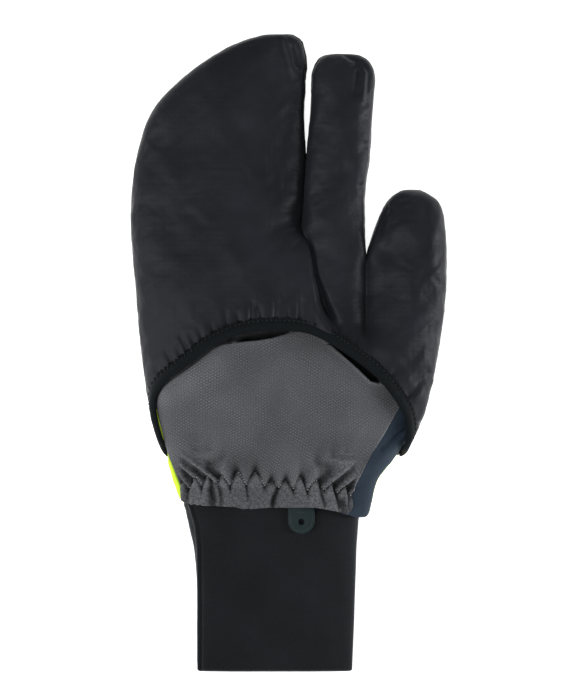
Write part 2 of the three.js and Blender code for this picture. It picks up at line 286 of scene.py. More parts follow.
def keepInside(points, skin, clearance):  # points closer to a skin than their clearance are pushed in
    for k in np.nonzero(clearance > 0)[0]:
        found, normal = nearestOn(skin, points[k])
        over = (points[k] - found) @ normal + clearance[k]
        if over > 0:
            points[k] -= normal * over
        top = topOf(skin, *points[k, :2])
        if top and points[k, 2] > body["seamHeight"]:
            points[k, 2] = min(points[k, 2], top[0][2] - clearance[k])
    return points


# Stitches: small spindles laid end to end along a thread
stitch = {"length": 1.15, "width": 0.42, "height": 0.3}


def sew(name, places, turned=0.0, size=stitch):  # places are (point, direction, normal)
    bm = bmesh.new()
    for point, direction, normal in places:
        along = Vector(direction).normalized()
        side = Vector(normal).normalized().cross(along).normalized()
        up = along.cross(side)
        turn = Matrix((along, side, up)).transposed().to_4x4() @ Matrix.Rotation(turned, 4, "Z")
        scale = Matrix.Diagonal((size["length"] / 2, size["width"] / 2, size["height"] / 2, 1))
        middle = Matrix.Translation(Vector((np.asarray(point) + shift)))
        bmesh.ops.create_icosphere(bm, subdivisions=1, radius=1, matrix=middle @ turn @ scale)
    bmesh.ops.scale(bm, vec=(mm, mm, mm), verts=bm.verts)
    return newPiece(name, toMesh(bm, name))


def finishPiece(piece, material, slot, *nodes):
    piece.data.shade_smooth()
    piece.data.materials.clear()
    piece.data.materials.append(material)
    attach(piece, "root")
    if nodes:
        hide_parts(*nodes)
    print(piece.name, len(piece.data.polygons), "faces")
    return piece


# Materials

def linear(hexColour):
    parts = [int(hexColour[k:k + 2], 16) / 255 for k in (1, 3, 5)]
    return [p / 12.92 if p <= 0.04045 else ((p + 0.055) / 1.055) ** 2.4 for p in parts] + [1]


def feed(node, inputs):  # a socket is linked to its input, any other value is set on it
    for key, value in inputs.items():
        if isinstance(value, bpy.types.NodeSocket):
            node.id_data.links.new(value, node.inputs[key])
        else:
            node.inputs[key].default_value = value


def addNode(shader, kind, inputs, out=0, stops=(), **settings):  # gives one output of the new node
    node = shader.id_data.nodes.new("ShaderNode" + kind)
    for name, value in settings.items():
        setattr(node, name, value)
    for element, (position, colour) in zip(node.color_ramp.elements if stops else (), stops):
        element.position = position
        element.color = linear(colour)
    feed(node, inputs)
    return node.outputs[out]


def newMaterial(name, roughness, ior=1.5, sheen=0.0, tint="#ffffff"):
    material = bpy.data.materials.new(name)
    material.use_nodes = True
    shader = material.node_tree.nodes["Principled BSDF"]
    feed(shader, {
        "Roughness": roughness, "IOR": ior, "Sheen Weight": sheen, "Sheen Roughness": 0.5,
        "Sheen Tint": linear(tint), "Specular Tint": linear(tint),
    })
    return material, shader


waveUnit = 2 * math.pi / 20  # a Wave Texture of scale 1 repeats over this length
mixA, mixB, mixResult = 6, 7, 2  # places of the colour sockets of a Mix node


def coatedNylon():
    # Ripstop nylon, calendered and coated: a soft satin gloss, a faint grid of thicker threads, a violet
    # bloom. The grid is drawn about as coarse as the picture can show
    look = {
        "blotch": 26, "crinkle": 3.4, "gloss": (0.38, 0.5), "relief": (0.035, 0.25),
        "threads": ((2.3, 9, 0.5), (0.55, 1.5, 0.35)),  # pitch, sharpness, height
    }
    material, shader = newMaterial("coated ripstop nylon", 0.42, 1.26, 0.03, "#dcdce4")
    place = addNode(shader, "TexCoord", {}, "Object")
    blotch = addNode(shader, "TexNoise", {
        "Vector": place, "Scale": 1 / (look["blotch"] * mm), "Detail": 3, "Roughness": 0.5,
    })
    colour = addNode(shader, "ValToRGB", {"Fac": blotch}, stops=((0.35, "#1c1d21"), (0.68, "#24252a")))
    least, most = look["gloss"]
    gloss = addNode(shader, "MapRange", {"Value": blotch, "To Min": least, "To Max": most})
    height = 0.0
    for direction in "XY":
        for pitch, sharpness, strength in look["threads"]:
            wave = addNode(shader, "TexWave", {
                "Vector": place, "Scale": waveUnit / (pitch * mm), "Distortion": 0.6, "Detail": 1,
                "Detail Scale": 0.4,
            }, "Fac", bands_direction=direction)
            sharp = addNode(shader, "Math", {0: wave, 1: sharpness}, operation="POWER")
            height = addNode(shader, "Math", {0: sharp, 1: strength, 2: height}, operation="MULTIPLY_ADD")
    threadRelief, crinkleRelief = look["relief"]
    weave = addNode(shader, "Bump", {"Height": height, "Distance": threadRelief * mm, "Strength": 0.8})
    crinkle = addNode(shader, "TexNoise", {
        "Vector": place, "Scale": 1 / (look["crinkle"] * mm), "Detail": 4, "Roughness": 0.55,
        "Distortion": 0.7,
    })
    bump = addNode(shader, "Bump", {
        "Height": crinkle, "Distance": crinkleRelief * mm, "Strength": 0.55, "Normal": weave,
    })
    feed(shader, {"Base Color": colour, "Roughness": gloss, "Normal": bump})
    return material


def wovenElastic():
    # Folded elastic tape: matt black, with fine ribs across it where the rubber draws the weave together
    look = {"rib": 0.9, "warp": 0.7, "relief": 0.12}
    material, shader = newMaterial("woven elastic", 0.8, 1.33, 0.0, "#c4ced4")
    cloth = addNode(shader, "UVMap", {}, uv_map="cloth")
    ribs = addNode(shader, "TexWave", {
        "Vector": cloth, "Scale": waveUnit / look["rib"], "Distortion": 0.8, "Detail": 1,
    }, "Fac", bands_direction="Y")
    warp = addNode(shader, "TexWave", {
        "Vector": cloth, "Scale": waveUnit / look["warp"], "Distortion": 0.4,
    }, "Fac", bands_direction="X")
    both = addNode(shader, "Math", {0: ribs, 1: warp}, operation="MULTIPLY")
    colour = addNode(shader, "ValToRGB", {"Fac": both}, stops=((0, "#0a0d0f"), (1, "#13171a")))
    bump = addNode(shader, "Bump", {"Height": both, "Distance": look["relief"] * mm, "Strength": 0.7})
    feed(shader, {"Base Color": colour, "Normal": bump})
    return material


def microDotSynthetic():
    # Synthetic palm leather, embossed with staggered pale dots on a heathered grey ground. Its dots fade here
    # and there, and painted light and shade is laid over it. The dots are drawn about as coarse as the
    # picture can show
    look = {
        "dots": (("X", 2.3), ("Y", 1.32)), "stretch": 22, "stretched": 3.2, "dotRelief": 0.16,
        "heatherRelief": 0.12, "speckle": (0.85, 0.15),  # on the pleats, and all over
    }
    # Clouds that make the ground uneven: size, detail, roughness, and from which values to which
    clouds = {
        "heather": (0.5, 2, 0.6, 0.35, 0.6, 0.35, 1.0), "faint": (9, 2, 0.5, 0.38, 0.62, 0.25, 1.0),
        "shade": (26, 1, 0.5, 0.35, 0.65, 0.84, 1.13), "speck": (1.1, 3, 0.7, 0.38, 0.62, -0.42, 0.46),
    }
    material, shader = newMaterial("micro dot synthetic", 0.82, 1.4, 0.05, "#d6d6dc")
    cloth = addNode(shader, "UVMap", {}, uv_map="cloth")
    cloud, level = {}, {}
    for name, (size, detail, rough, fromLow, fromHigh, toLow, toHigh) in clouds.items():
        cloud[name] = addNode(shader, "TexNoise", {
            "Vector": cloth, "Scale": 1 / size, "Detail": detail, "Roughness": rough,
        })
        level[name] = addNode(shader, "MapRange", {
            "Value": cloud[name], "From Min": fromLow, "From Max": fromHigh,
            "To Min": toLow, "To Max": toHigh,
        })
    stretch = addNode(shader, "TexNoise", {
        "Vector": cloth, "Scale": 1 / look["stretch"], "Detail": 1,
    }, "Color")
    most = (look["stretched"], look["stretched"], 0)
    stretched = addNode(shader, "VectorMath", {0: stretch, 1: most, 2: cloth}, operation="MULTIPLY_ADD")
    waves = []
    for axis, pitch in look["dots"]:
        split = addNode(shader, "SeparateXYZ", {"Vector": stretched}, axis)
        turned = addNode(shader, "Math", {0: split, 1: 2 * math.pi / pitch}, operation="MULTIPLY")
        waves.append(addNode(shader, "Math", {0: turned}, operation="COSINE"))
    lattice = addNode(shader, "Math", dict(enumerate(waves)), operation="MULTIPLY")
    pleated = addNode(shader, "Attribute", {}, "Fac", attribute_name="pleated")
    flat = addNode(shader, "Math", {0: 1.0, 1: pleated}, operation="SUBTRACT")
    dotWearAndFoldLight = addNode(shader, "Math", {0: level["heather"], 1: level["faint"]}, operation="MULTIPLY")
    dotWearAndFoldLight = addNode(shader, "Math", {0: dotWearAndFoldLight, 1: flat}, operation="MULTIPLY")
    dot = addNode(shader, "MapRange", {
        "Value": lattice, "From Min": 0.3, "From Max": 0.95,
    }, interpolation_type="SMOOTHSTEP")
    dots = addNode(shader, "Math", {0: dot, 1: dotWearAndFoldLight}, operation="MULTIPLY")
    share = addNode(shader, "Math", {
        0: pleated, 1: look["speckle"][0], 2: look["speckle"][1],
    }, operation="MULTIPLY_ADD")
    speck = addNode(shader, "Math", {0: level["speck"], 1: share, 2: 1.0}, operation="MULTIPLY_ADD")
    # Painted light and shade from the palm's shape: raised folds, the seam edge and the drops' edges are
    # painted lighter; creases, drops and shaded patches are painted darker
    paintedLight = addNode(shader, "Attribute", {}, "Fac", attribute_name="paintedLight")
    # edge: the painted light and shade as a brightness factor, multiplied into the colour last
    edge = addNode(shader, "MapRange", {
        "Value": paintedLight, "From Min": -1.6, "From Max": 1.6, "To Min": 0.06, "To Max": 1.92,
    })
    ground = (0.3, "#3f4043"), (0.72, "#626367")
    colour = addNode(shader, "ValToRGB", {"Fac": cloud["heather"]}, stops=ground)
    for factor, kind, other in (
        (1.0, "MULTIPLY", level["shade"]), (1.0, "MULTIPLY", speck), (dots, "MIX", linear("#7e8082")),
        (1.0, "MULTIPLY", edge),
    ):
        colour = addNode(shader, "Mix", {
            "Factor": factor, mixA: colour, mixB: other,
        }, mixResult, data_type="RGBA", blend_type=kind)
    grain = addNode(shader, "Bump", {
        "Height": cloud["heather"], "Distance": look["heatherRelief"] * mm, "Strength": 0.6,
    })
    bump = addNode(shader, "Bump", {
        "Height": dots, "Distance": look["dotRelief"] * mm, "Strength": 0.8, "Normal": grain,
    })
    feed(shader, {"Base Color": colour, "Normal": bump})
    return material


# A plain cloth is mottled by its nap and by broad clouds, and its weave stands out of the nap
def mottle(shader, cloth, weave, look, dark, light):
    nap = addNode(shader, "TexNoise", {
        "Vector": cloth, "Scale": 1 / look["nap"], "Detail": look["napDetail"],
    })
    broad = addNode(shader, "TexNoise", {"Vector": cloth, "Scale": 1 / look["shade"], "Detail": 2})
    both = addNode(shader, "Math", {0: nap, 1: broad}, operation="ADD")
    level = addNode(shader, "MapRange", {"Value": both, "From Min": 0.7, "From Max": 1.3})
    colour = addNode(shader, "ValToRGB", {"Fac": level}, stops=((0, dark), (1, light)))
    grain = addNode(shader, "Bump", {"Height": nap, "Distance": look["napRelief"] * mm, "Strength": 0.5})
    bump = addNode(shader, "Bump", {
        "Height": weave, "Distance": look["relief"] * mm, "Strength": 0.6, "Normal": grain,
    })
    feed(shader, {"Base Color": colour, "Normal": bump})


def softshell(name, dark, light, tint, paintedGlow=0.0):
    # Bonded softshell: a dense matt twill face with a short nap. The glow is painted light: it brightens the
    # cloth evenly, even where it lies in shade
    look = {"twill": 0.8, "relief": 0.05, "nap": 0.45, "napDetail": 2, "napRelief": 0.12, "shade": 18}
    material, shader = newMaterial(name, 0.8, 1.4, 0.06, tint)
    feed(shader, {"Emission Color": linear(light), "Emission Strength": paintedGlow})
    cloth = addNode(shader, "UVMap", {}, uv_map="cloth")
    twill = addNode(shader, "TexWave", {
        "Vector": cloth, "Scale": waveUnit / look["twill"], "Distortion": 1.2, "Detail": 1,
        "Detail Scale": 1.5,
    }, "Fac", bands_direction="DIAGONAL")
    mottle(shader, cloth, twill, look, dark, light)
    return material


def stretchKnit():
    # Stretch jersey, folded double: fine upright wales with a soft fuzz that lightens the turned edges.
    # The wales are drawn about as coarse as the picture can show
    look = {
        "stitches": (("X", 0.9), ("Y", 0.75)),  # from wale to wale, and from course to course
        "relief": 0.12, "nap": 0.8, "napDetail": 3, "napRelief": 0.1, "shade": 24,
    }
    material, shader = newMaterial("stretch knit", 0.9, 1.34, 0.5, "#c0c4cc")
    cloth = addNode(shader, "UVMap", {}, uv_map="cloth")
    waves = []
    for direction, pitch in look["stitches"]:
        waves.append(addNode(shader, "TexWave", {
            "Vector": cloth, "Scale": waveUnit / pitch, "Distortion": 0.5, "Detail": 1,
        }, "Fac", bands_direction=direction))
    stitches = addNode(shader, "Math", dict(enumerate(waves)), operation="MULTIPLY")
    mottle(shader, cloth, stitches, look, "#0b0c0e", "#17181b")
    return material


def rubberisedWebbing():
    # Moulded rubber over a woven tape: dull teal with a fine pebble
    look = {"pebble": 0.5, "shade": 5, "relief": 0.06}
    material, shader = newMaterial("rubberised webbing", 0.6, 1.32)
    place = addNode(shader, "TexCoord", {}, "Object")
    pebble = addNode(shader, "TexVoronoi", {"Vector": place, "Scale": 1 / (look["pebble"] * mm)}, "Distance")
    broad = addNode(shader, "TexNoise", {"Vector": place, "Scale": 1 / (look["shade"] * mm)})
    colour = addNode(shader, "ValToRGB", {"Fac": broad}, stops=((0, "#101f20"), (1, "#18292b")))
    bump = addNode(shader, "Bump", {"Height": pebble, "Distance": look["relief"] * mm, "Strength": 0.6})
    feed(shader, {"Base Color": colour, "Normal": bump})
    return material


def sewingThread(name, dark, light):
    # Spun polyester thread, twisted, with a slight gloss
    look = {"twist": 0.6}
    material, shader = newMaterial(name, 0.55, 1.5)
    place = addNode(shader, "TexCoord", {}, "Object")
    twist = addNode(shader, "TexNoise", {"Vector": place, "Scale": 1 / (look["twist"] * mm)})
    colour = addNode(shader, "ValToRGB", {"Fac": twist}, stops=((0, dark), (1, light)))
    feed(shader, {"Base Color": colour})
    return material


nylon = coatedNylon()
elastic = wovenElastic()
palmCloth = microDotSynthetic()
navyCloth = softshell("navy softshell", "#212a34", "#323d49", "#b5c4d6")
# The neon panel's glow is painted light that keeps it bright where it lies in shade
neonCloth = softshell("neon softshell", "#bfe826", "#d8fb4a", "#f4ffb0", 0.14)
knit = stretchKnit()
rubber = rubberisedWebbing()
blackThread = sewingThread("black thread", "#090a0c", "#16181b")
greyThread = sewingThread("grey thread", "#77777a", "#b6b6b8")
tealThread = sewingThread("teal thread", "#1f2b2c", "#3a4849")
print("materials made")


# The cover's body: three finger parts, each a row of rungs from its left outline to its right one.
# Columns: leftX, leftY, rightX, rightY, top (height of the crown), bottom (of the flattened underside)
body = {
    "seamHeight": 9.0,
    "evenPower": [(0, section["crownPower"])],  # roundness of the crown by y
    "outerPower": [(0, 2.5), (30, 3.8)],  # the same for the mitten's outer half, which lies flatter
    "slitPower": [(40, 2.5), (62, 1.9)],  # and for its half beside the slit, which falls away sooner
    "around": 96,  # grid lines round a finger part
    "perRung": 8,  # and from one of its sections to the next
    "voxel": 1.52,  # the cell of the mesh that joins the parts
    "wristEnd": -46.5,
    "palmWall": 0.9,
    "backWall": 1.0,
}
mittenRungs = [
    (-46.5, -62, 12, -62, 25.5, 0), (-59.2, -36, 22, -36, 28, 0), (-65.2, -8, 30, -8, 28.5, 0),
    (-68.6, 28, 25, 28, 26.5, 0), (-70.7, 56, 8.8, 56, 24, 0), (-69.2, 83, 8.2, 83, 22, 0),
    (-62.2, 107, 8.2, 107, 20.5, 0), (-48.4, 123, 8.3, 122.5, 18.5, 0.4),
    (-29.8, 136.2, 8, 134.5, 16, 2.2), (-15.5, 142.2, 5.8, 141.3, 13, 5), (-6, 143.8, 1, 143.7, 10.4, 7.6),
]
indexRungs = [
    (-6, -58, 40, -58, 24, 0), (-4, -30, 46, -30, 27, 0), (2, -4, 50, -4, 27.5, 0),
    (7.4, 20, 47, 20, 25, 0), (8.8, 44, 36.6, 44, 22, 0), (8.6, 64, 34.6, 64, 20.5, 0),
    (8.9, 92, 37, 92, 19.5, 0), (10.3, 117, 39, 117, 18.5, 0), (11.8, 127.4, 38.9, 127, 16.5, 1.2),
    (14.4, 132.8, 35.8, 132.4, 14, 4), (18.6, 134.8, 30.4, 134.8, 10.8, 7.4),
]
thumbRungs = [
    (12, -60, 38, -60, 23, 0), (18, -44, 53.2, -44, 25, 0), (21, -27, 61.6, -27, 26.4, 0),
    (24, -2, 67.5, -2, 26.4, 0), (28.5, 22, 70.8, 22, 24.5, 0), (36, 43, 71.6, 43, 22, 0),
    (39.9, 57.5, 70.9, 57, 20, 0.2), (43, 65.5, 69, 66.5, 17.2, 1.8), (47.2, 71, 63.6, 71.6, 13.6, 4.8),
    (51.6, 73.5, 58.4, 73.6, 10.6, 7.6),
]


# The slit between mitten and index part is held open while the body is made, and closed again afterwards
slit = {
    "open": 1.7,  # half its width when it is held open
    "from": (44, 56),  # it opens over this range of y
    "openTo": (118, 130),
    "closedTo": (126, 133),
    "steps": (46, 134),  # where its gap is measured
    "even": 60,  # below this height its sides aren't apart in the mesh
    "reach": (28, 22),  # how far the closing reaches into the mitten and into the index part
}
# Where its middle runs, and half its width, by height along Y
slitMiddle = [
    (50, 7.5), (57, 6), (61, 6.4), (66, 6.9), (77, 7.6), (89, 8.2), (96, 8.3), (107, 8.6), (115, 9),
    (125, 9.4), (127, 9.9), (130, 10.4), (132.5, 11.3),
]
slitHalf = [
    (86, -0.35), (90, -0.1), (93, 0.2), (96, 0.42), (102, 0.7), (107, 1.1), (112, 1.2), (125, 1.3),
    (127, 1.4), (130, 1.8), (132.5, 2.7),
]


def opening(y):
    return slit["open"] * window(y, slit["from"], slit["openTo"])


def lobe(rungs, openLeft, openRight, leftPower, rightPower):
    def place(u, v):
        leftX, leftY, rightX, rightY, top, bottom = alongRows(rungs, v * (len(rungs) - 1))
        leftX = leftX + openLeft * opening(leftY)
        rightX = rightX - openRight * opening(rightY)
        angle = 2 * math.pi * (1 - u)
        crownPower = np.where(np.cos(angle) < 0, between(leftPower, leftY), between(rightPower, rightY))
        half, z = oval(angle, body["seamHeight"], top, bottom, crownPower)
        return np.stack([
            leftX + (rightX - leftX) * half, leftY + (rightY - leftY) * half, np.maximum(z, 0),
        ], axis=1)
    return place


def joinLobes():
    whole = bmesh.new()
    for name, rungs, openLeft, openRight, leftPower, rightPower in (
        ("mitten", mittenRungs, 0, 1, "outerPower", "slitPower"),
        ("index", indexRungs, 1, 0, "evenPower", "evenPower"),
        ("thumb", thumbRungs, 0, 0, "evenPower", "evenPower"),
    ):
        place = lobe(rungs, openLeft, openRight, body[leftPower], body[rightPower])
        part = layGrid(name, (body["around"], body["perRung"] * (len(rungs) - 1)), place)
        editMesh(part, closeEnds)
        whole.from_mesh(part.data)
        bpy.data.objects.remove(part)
    return newPiece("body", toMesh(whole, "body"))


# The mesh's steps are averaged away, and soft valleys are averaged in between the finger parts. Columns of a
# valley: its line seen from above, rounds of averaging, reach
finer = {"rounds": (5, 10), "valleyHeight": (11, 16)}
valleys = [
    ((9, 49, 14.4, 24), 40, 9), ((14.4, 24, 21, 10), 40, 9), ((37.5, 38, 38.5, 20), 80, 10),
    ((38.5, 20, 41, 2), 80, 11),
]


def averaged(mesh, values, rounds):  # each point's value averaged with its neighbours', again and again
    ends = allOf(mesh.edges, "vertices", 2, int)
    a, b = ends.T
    count = np.maximum(np.bincount(ends.ravel(), minlength=len(values)), 1)[:, None]
    for _ in range(rounds):
        total = [
            np.bincount(a, values[b, k], len(values)) + np.bincount(b, values[a, k], len(values))
            for k in range(values.shape[1])
        ]
        values = (values + np.stack(total, axis=1) / count) / 2
    return values


def remesh(piece):
    voxels = piece.modifiers.new("voxels", "REMESH")
    voxels.mode = "VOXEL"
    voxels.voxel_size = body["voxel"] * mm
    applyAll(piece)
    points = readPoints(piece.data)
    once, twice = (averaged(piece.data, points, rounds) for rounds in finer["rounds"])
    points = 2 * once - twice
    for line, rounds, reach in valleys:
        share = bell(toLine(points[:, 0], points[:, 1], *line)[0], reach)
        share = share * smooth(points[:, 2], *finer["valleyHeight"])
        points = points + (averaged(piece.data, points, rounds) - points) * share[:, None]
    writePoints(piece.data, points)
    return piece


# The sewn cloth, a little longer than its seams, puffs out and creases. Only the creases are kept
creasing = {
    "frames": 20,
    "mass": 0.15,
    "stretch": 20,
    "shear": 5,
    "bend": 0.05,
    "excess": 0.02,  # share by which the cloth is longer than its seams
    "pressure": 3.0,
    "broad": 90,  # rounds of averaging that tell the billow from the creases
    "kept": 0.5,  # share of the creases that is kept
    "cap": 1.1,  # how far a crease may stand from the drawn shape
    "heldWrist": (-50, -42),
    "heldUnder": (0.5, 4),
}


def heldBySeams(points):
    y, z = points[:, 1], points[:, 2]
    seam = bell(z - body["seamHeight"], 1.5)
    wrist = 1 - smooth(y, *creasing["heldWrist"])
    resting = 1 - smooth(z, *creasing["heldUnder"])
    return np.maximum(np.maximum(seam, wrist), resting)


def settleCloth(piece):
    drawn = readPoints(piece.data)
    pinned = piece.vertex_groups.new(name="held")
    weights = heldBySeams(drawn)
    for k in np.nonzero(weights > 0)[0]:
        pinned.add([int(k)], float(weights[k]), "REPLACE")
    cloth = piece.modifiers.new("cloth", "CLOTH")
    settings = cloth.settings
    settings.quality = 5
    settings.mass = creasing["mass"]
    settings.tension_stiffness = settings.compression_stiffness = creasing["stretch"]
    settings.shear_stiffness = creasing["shear"]
    settings.bending_stiffness = creasing["bend"]
    settings.vertex_group_mass = "held"
    settings.pin_stiffness = 1
    settings.use_pressure = True
    settings.uniform_pressure_force = creasing["pressure"]
    settings.shrink_min = -creasing["excess"]
    settings.effector_weights.gravity = 0
    cloth.collision_settings.use_collision = False
    scene = bpy.context.scene
    for count in range(1, creasing["frames"] + 1):
        scene.frame_set(count)
    applyAll(piece)
    scene.frame_set(1)
    moved = readPoints(piece.data) - drawn
    moved = (moved - averaged(piece.data, moved, creasing["broad"])) * creasing["kept"]
    length = np.linalg.norm(moved, axis=1, keepdims=True)
    moved *= creasing["cap"] * np.tanh(length / creasing["cap"]) / np.maximum(length, 1e-6)
    moved *= smooth(np.abs(drawn[:, 2:] - body["seamHeight"]), 0, 6)
    writePoints(piece.data, drawn + moved)
    piece.vertex_groups.clear()


def closeSlit(points):  # both sides of the slit move back to where they nearly touch
    x, y, z = points.T
    steps = np.arange(*slit["steps"], dtype=float)
    left = np.interp(steps, [r[3] for r in mittenRungs], [r[2] for r in mittenRungs])
    right = np.interp(steps, [r[1] for r in indexRungs], [r[0] for r in indexRungs])
    centre = (left + right) / 2
    gap = np.zeros((len(steps), 2))
    middleOf = np.interp(y, steps, centre)
    for k, step in enumerate(steps):
        near = np.abs(y - step) < 1.2
        gap[k] = (centre[k] - x[near & (x < middleOf)]).min(), (x[near & (x > middleOf)] - centre[k]).min()
    low = steps < slit["even"]
    gap[low] = gap[steps == slit["even"]] * (opening(steps[low]) / slit["open"])[:, None]
    middle, half = between(slitMiddle, y), between(slitHalf, y)
    moved = x.copy()
    for side, reach, sideGap in zip((-1, 1), slit["reach"], gap.T):
        width = np.interp(y, steps, sideGap)
        out = side * (x - middleOf)
        wall = middle + side * half
        inside = middle + side * half * np.clip(out / np.maximum(width, 0.01), 0, 1)
        beyond = x + (wall - middleOf - side * width) * (1 - smooth(out - width, 2, reach))
        moved = np.where(out > 0, np.where(out < width, inside, beyond), moved)
    share = window(y, slit["from"], slit["closedTo"])
    return np.stack([x + share * (moved - x), y, np.maximum(z, 0)], axis=1)


# The crotch of index part and thumb is drawn down to a point: its place, how far it moves, its reach above
# and below, and where along Y the one goes over into the other
crotch = {
    "x": 36.8, "y": 48.5, "down": 6.8, "left": 1.5, "across": (3.2, 6.5), "along": (8, 20),
    "above": (39.5, 51.5), "tip": 43.2, "pinchAcross": 6.0, "pinchAlong": 9.0,
}
# The gap above its point: middle and share by which its sides are pinched together, both by height along Y
crotchMiddle = [
    (43.2, 35.3), (47.9, 35.5), (52.4, 36), (56.9, 36.9), (61.4, 37.6), (65.9, 38.7), (70.4, 40.3),
]
crotchPinch = [
    (43.2, 0.85), (47.9, 0.75), (50, 0.5), (52.4, 0.42), (54.7, 0.3), (57, 0.24), (61.4, 0.15), (68, 0),
]


def sharpenCrotch(points):
    x, y, z = points.T
    high = smooth(y, *crotch["above"])
    across, along = (low + (top - low) * high for top, low in (crotch["across"], crotch["along"]))
    near = bell(x - crotch["x"], across) * bell(y - crotch["y"], along)
    x, y = x - crotch["left"] * near, y - crotch["down"] * near
    aside, below = x - between(crotchMiddle, y), np.minimum(y - crotch["tip"], 0)
    pinch = between(crotchPinch, y) * bell(aside, crotch["pinchAcross"]) * bell(below, crotch["pinchAlong"])
    return np.stack([x - aside * pinch, y - below * pinch, z], axis=1)


coverBody = remesh(joinLobes())
settleCloth(coverBody)
writePoints(coverBody.data, sharpenCrotch(closeSlit(readPoints(coverBody.data))))
bodySkin = surfaceOf(coverBody)
print("cover body", len(coverBody.data.polygons), "faces")


# The cover's open edge over the palm, from the outer side of the wrist round to the thumb side
hem = {
    "overlap": 2.4,  # how far the nylon runs in under the band
    "samples": 260,
    "walk": 0.5,  # step of the walk across the cover's skin
    "spare": 1.5,  # how far the walk goes on past the band
    "evened": (6, 10),  # rounds of smoothing along the hem, for places and for normals
}
hemPoints = [
    (-55.2, -47.6), (-58, -35.5), (-59.7, -23), (-55.5, -14.2), (-44.5, -5.8), (-32.6, 3.2), (-20, 8.4),
    (-5, 10), (10, 8.2), (24, 0.6), (38.9, -10.6), (49.3, -23.5), (53.6, -33), (52.8, -43), (51.2, -47.4),
]
# The binding on it: a band of folded tape, rolled over the nylon's edge, with a stitched groove
binding = {
    "width": 5.8,
    "proud": 0.55,
    "inside": 1.5,
    "endRound": 5.0,  # length over which the band's ends are rounded off
    "narrowEnd": (0, 0.1),  # share of its length over which its outer end widens
    "roll": (0.6, 1.9, 1.7),  # height, distance from the open edge, and reach
    "stitchLine": 4.4,  # distance of its groove and stitches from the open edge
    "groove": (0.5, 0.55),  # depth and reach
    "stitchPitch": 1.9,
    "stitchTurn": 0.5,
    "pull": (0.34, 0.2),  # how far the stitches draw its lip in at the outer end, and how much less later on
    "grid": (28, 560),
}


def hemCurve(count):  # points and normals that point into the cover, evenly spaced, and the length along it
    fine = alongRows(hemPoints, np.linspace(0, len(hemPoints) - 1, 2000)).T
    length = spaced(fine)
    at = np.linspace(0, length[-1], count)
    points = np.stack([np.interp(at, length, fine[:, k]) for k in (0, 1)], axis=1)
    tangents = np.gradient(points, axis=0)
    tangents /= np.linalg.norm(tangents, axis=1, keepdims=True)
    return points, np.stack([-tangents[:, 1], tangents[:, 0]], axis=1), at


def evened(rails, rounds):  # rails smoothed along the hem
    for _ in range(rounds):
        inner = (rails[:-2] + 2 * rails[1:-1] + rails[2:]) / 4
        rails = np.concatenate([rails[:1], inner, rails[-1:]])
    return rails


def walkFromHem(reach):  # for each point of the hem, points and normals on the skin going out across the band
    points, outward, _ = hemCurve(hem["samples"])
    count = int(round(reach / hem["walk"])) + 1
    places, normals = np.zeros((2, hem["samples"], count, 3))
    for i, (start, out) in enumerate(zip(points, outward)):
        here, up = topOf(bodySkin, *start) or nearestOn(bodySkin, [*start, body["seamHeight"] + 0.5])
        side = np.array([-out[1], out[0], 0.0])
        for k in range(count):
            places[i, k], normals[i, k] = here, up
            step = np.cross(up, side)
            step *= np.sign(step @ np.array([*out, -0.4])) * hem["walk"] / max(np.linalg.norm(step), 1e-6)
            here, up = nearestOn(bodySkin, here + step)
    places, normals = (evened(field, rounds) for field, rounds in zip((places, normals), hem["evened"]))
    return places, normals / np.linalg.norm(normals, axis=2, keepdims=True)


hemPlaces, hemNormals = walkFromHem(binding["width"] + hem["spare"])
hemLength = hemCurve(hem["samples"])[2][-1]


def acrossBand(share, distance, lift):  # a point on the band: share along the hem, distance out from its edge
    rows = share * (hem["samples"] - 1)
    columns = np.clip(distance / hem["walk"], 0, hemPlaces.shape[1] - 1.001)
    i = np.minimum(rows.astype(int), hem["samples"] - 2)
    k = columns.astype(int)
    a, b = (rows - i)[:, None], (columns - k)[:, None]
    places, normals = (
        (1 - a) * ((1 - b) * field[i, k] + b * field[i, k + 1])
        + a * ((1 - b) * field[i + 1, k] + b * field[i + 1, k + 1])
        for field in (hemPlaces, hemNormals)
    )
    normals = normals / np.linalg.norm(normals, axis=1, keepdims=True)
    return places + normals * np.reshape(lift, (-1, 1)), normals


def makeBand():
    def place(u, v):
        c, s = np.cos(-2 * math.pi * u), np.sin(-2 * math.pi * u)
        fromEnd = np.clip(np.minimum(v, 1 - v) * hemLength / binding["endRound"], 0.02, 1)
        full = np.sqrt(1 - (1 - fromEnd) ** 2)
        narrow = 1 - 0.6 * (1 - smooth(v, *binding["narrowEnd"]))
        distance = binding["width"] / 2 * (1 + full * np.sign(c) * np.abs(c) ** 0.7) * narrow
        middle, half = (binding["proud"] - binding["inside"]) / 2, (binding["proud"] + binding["inside"]) / 2
        height, at, reach = binding["roll"]
        roll = height * bell(distance - at, reach)
        depth, reach = binding["groove"]
        groove = depth * bell(distance - binding["stitchLine"], reach)
        pull = binding["pull"][0] - binding["pull"][1] * smooth(v, 0.3, 0.6)
        pull = pull * np.cos(2 * math.pi * v * hemLength / binding["stitchPitch"])
        lip = pull * smooth(distance, binding["stitchLine"], binding["width"])
        lift = middle + full * (half * np.sign(s) * np.abs(s) ** 0.6 + (s > 0) * (roll - groove + lip))
        return acrossBand(v, distance + lip, lift)[0]
    return editMesh(layGrid("cover_binding_tape", binding["grid"], place, closed=True), closeEnds)


def bandStitches():
    count = int(hemLength / binding["stitchPitch"])
    share = (np.arange(2, count - 2) + 0.5) / count
    line = np.full(len(share), binding["stitchLine"])
    here, normals = acrossBand(share, line, binding["proud"] - 0.1)
    ahead, _ = acrossBand(share + 0.002, line, binding["proud"] - 0.1)
    return sew("cover_binding_stitches", zip(here, ahead - here, normals), turned=binding["stitchTurn"])


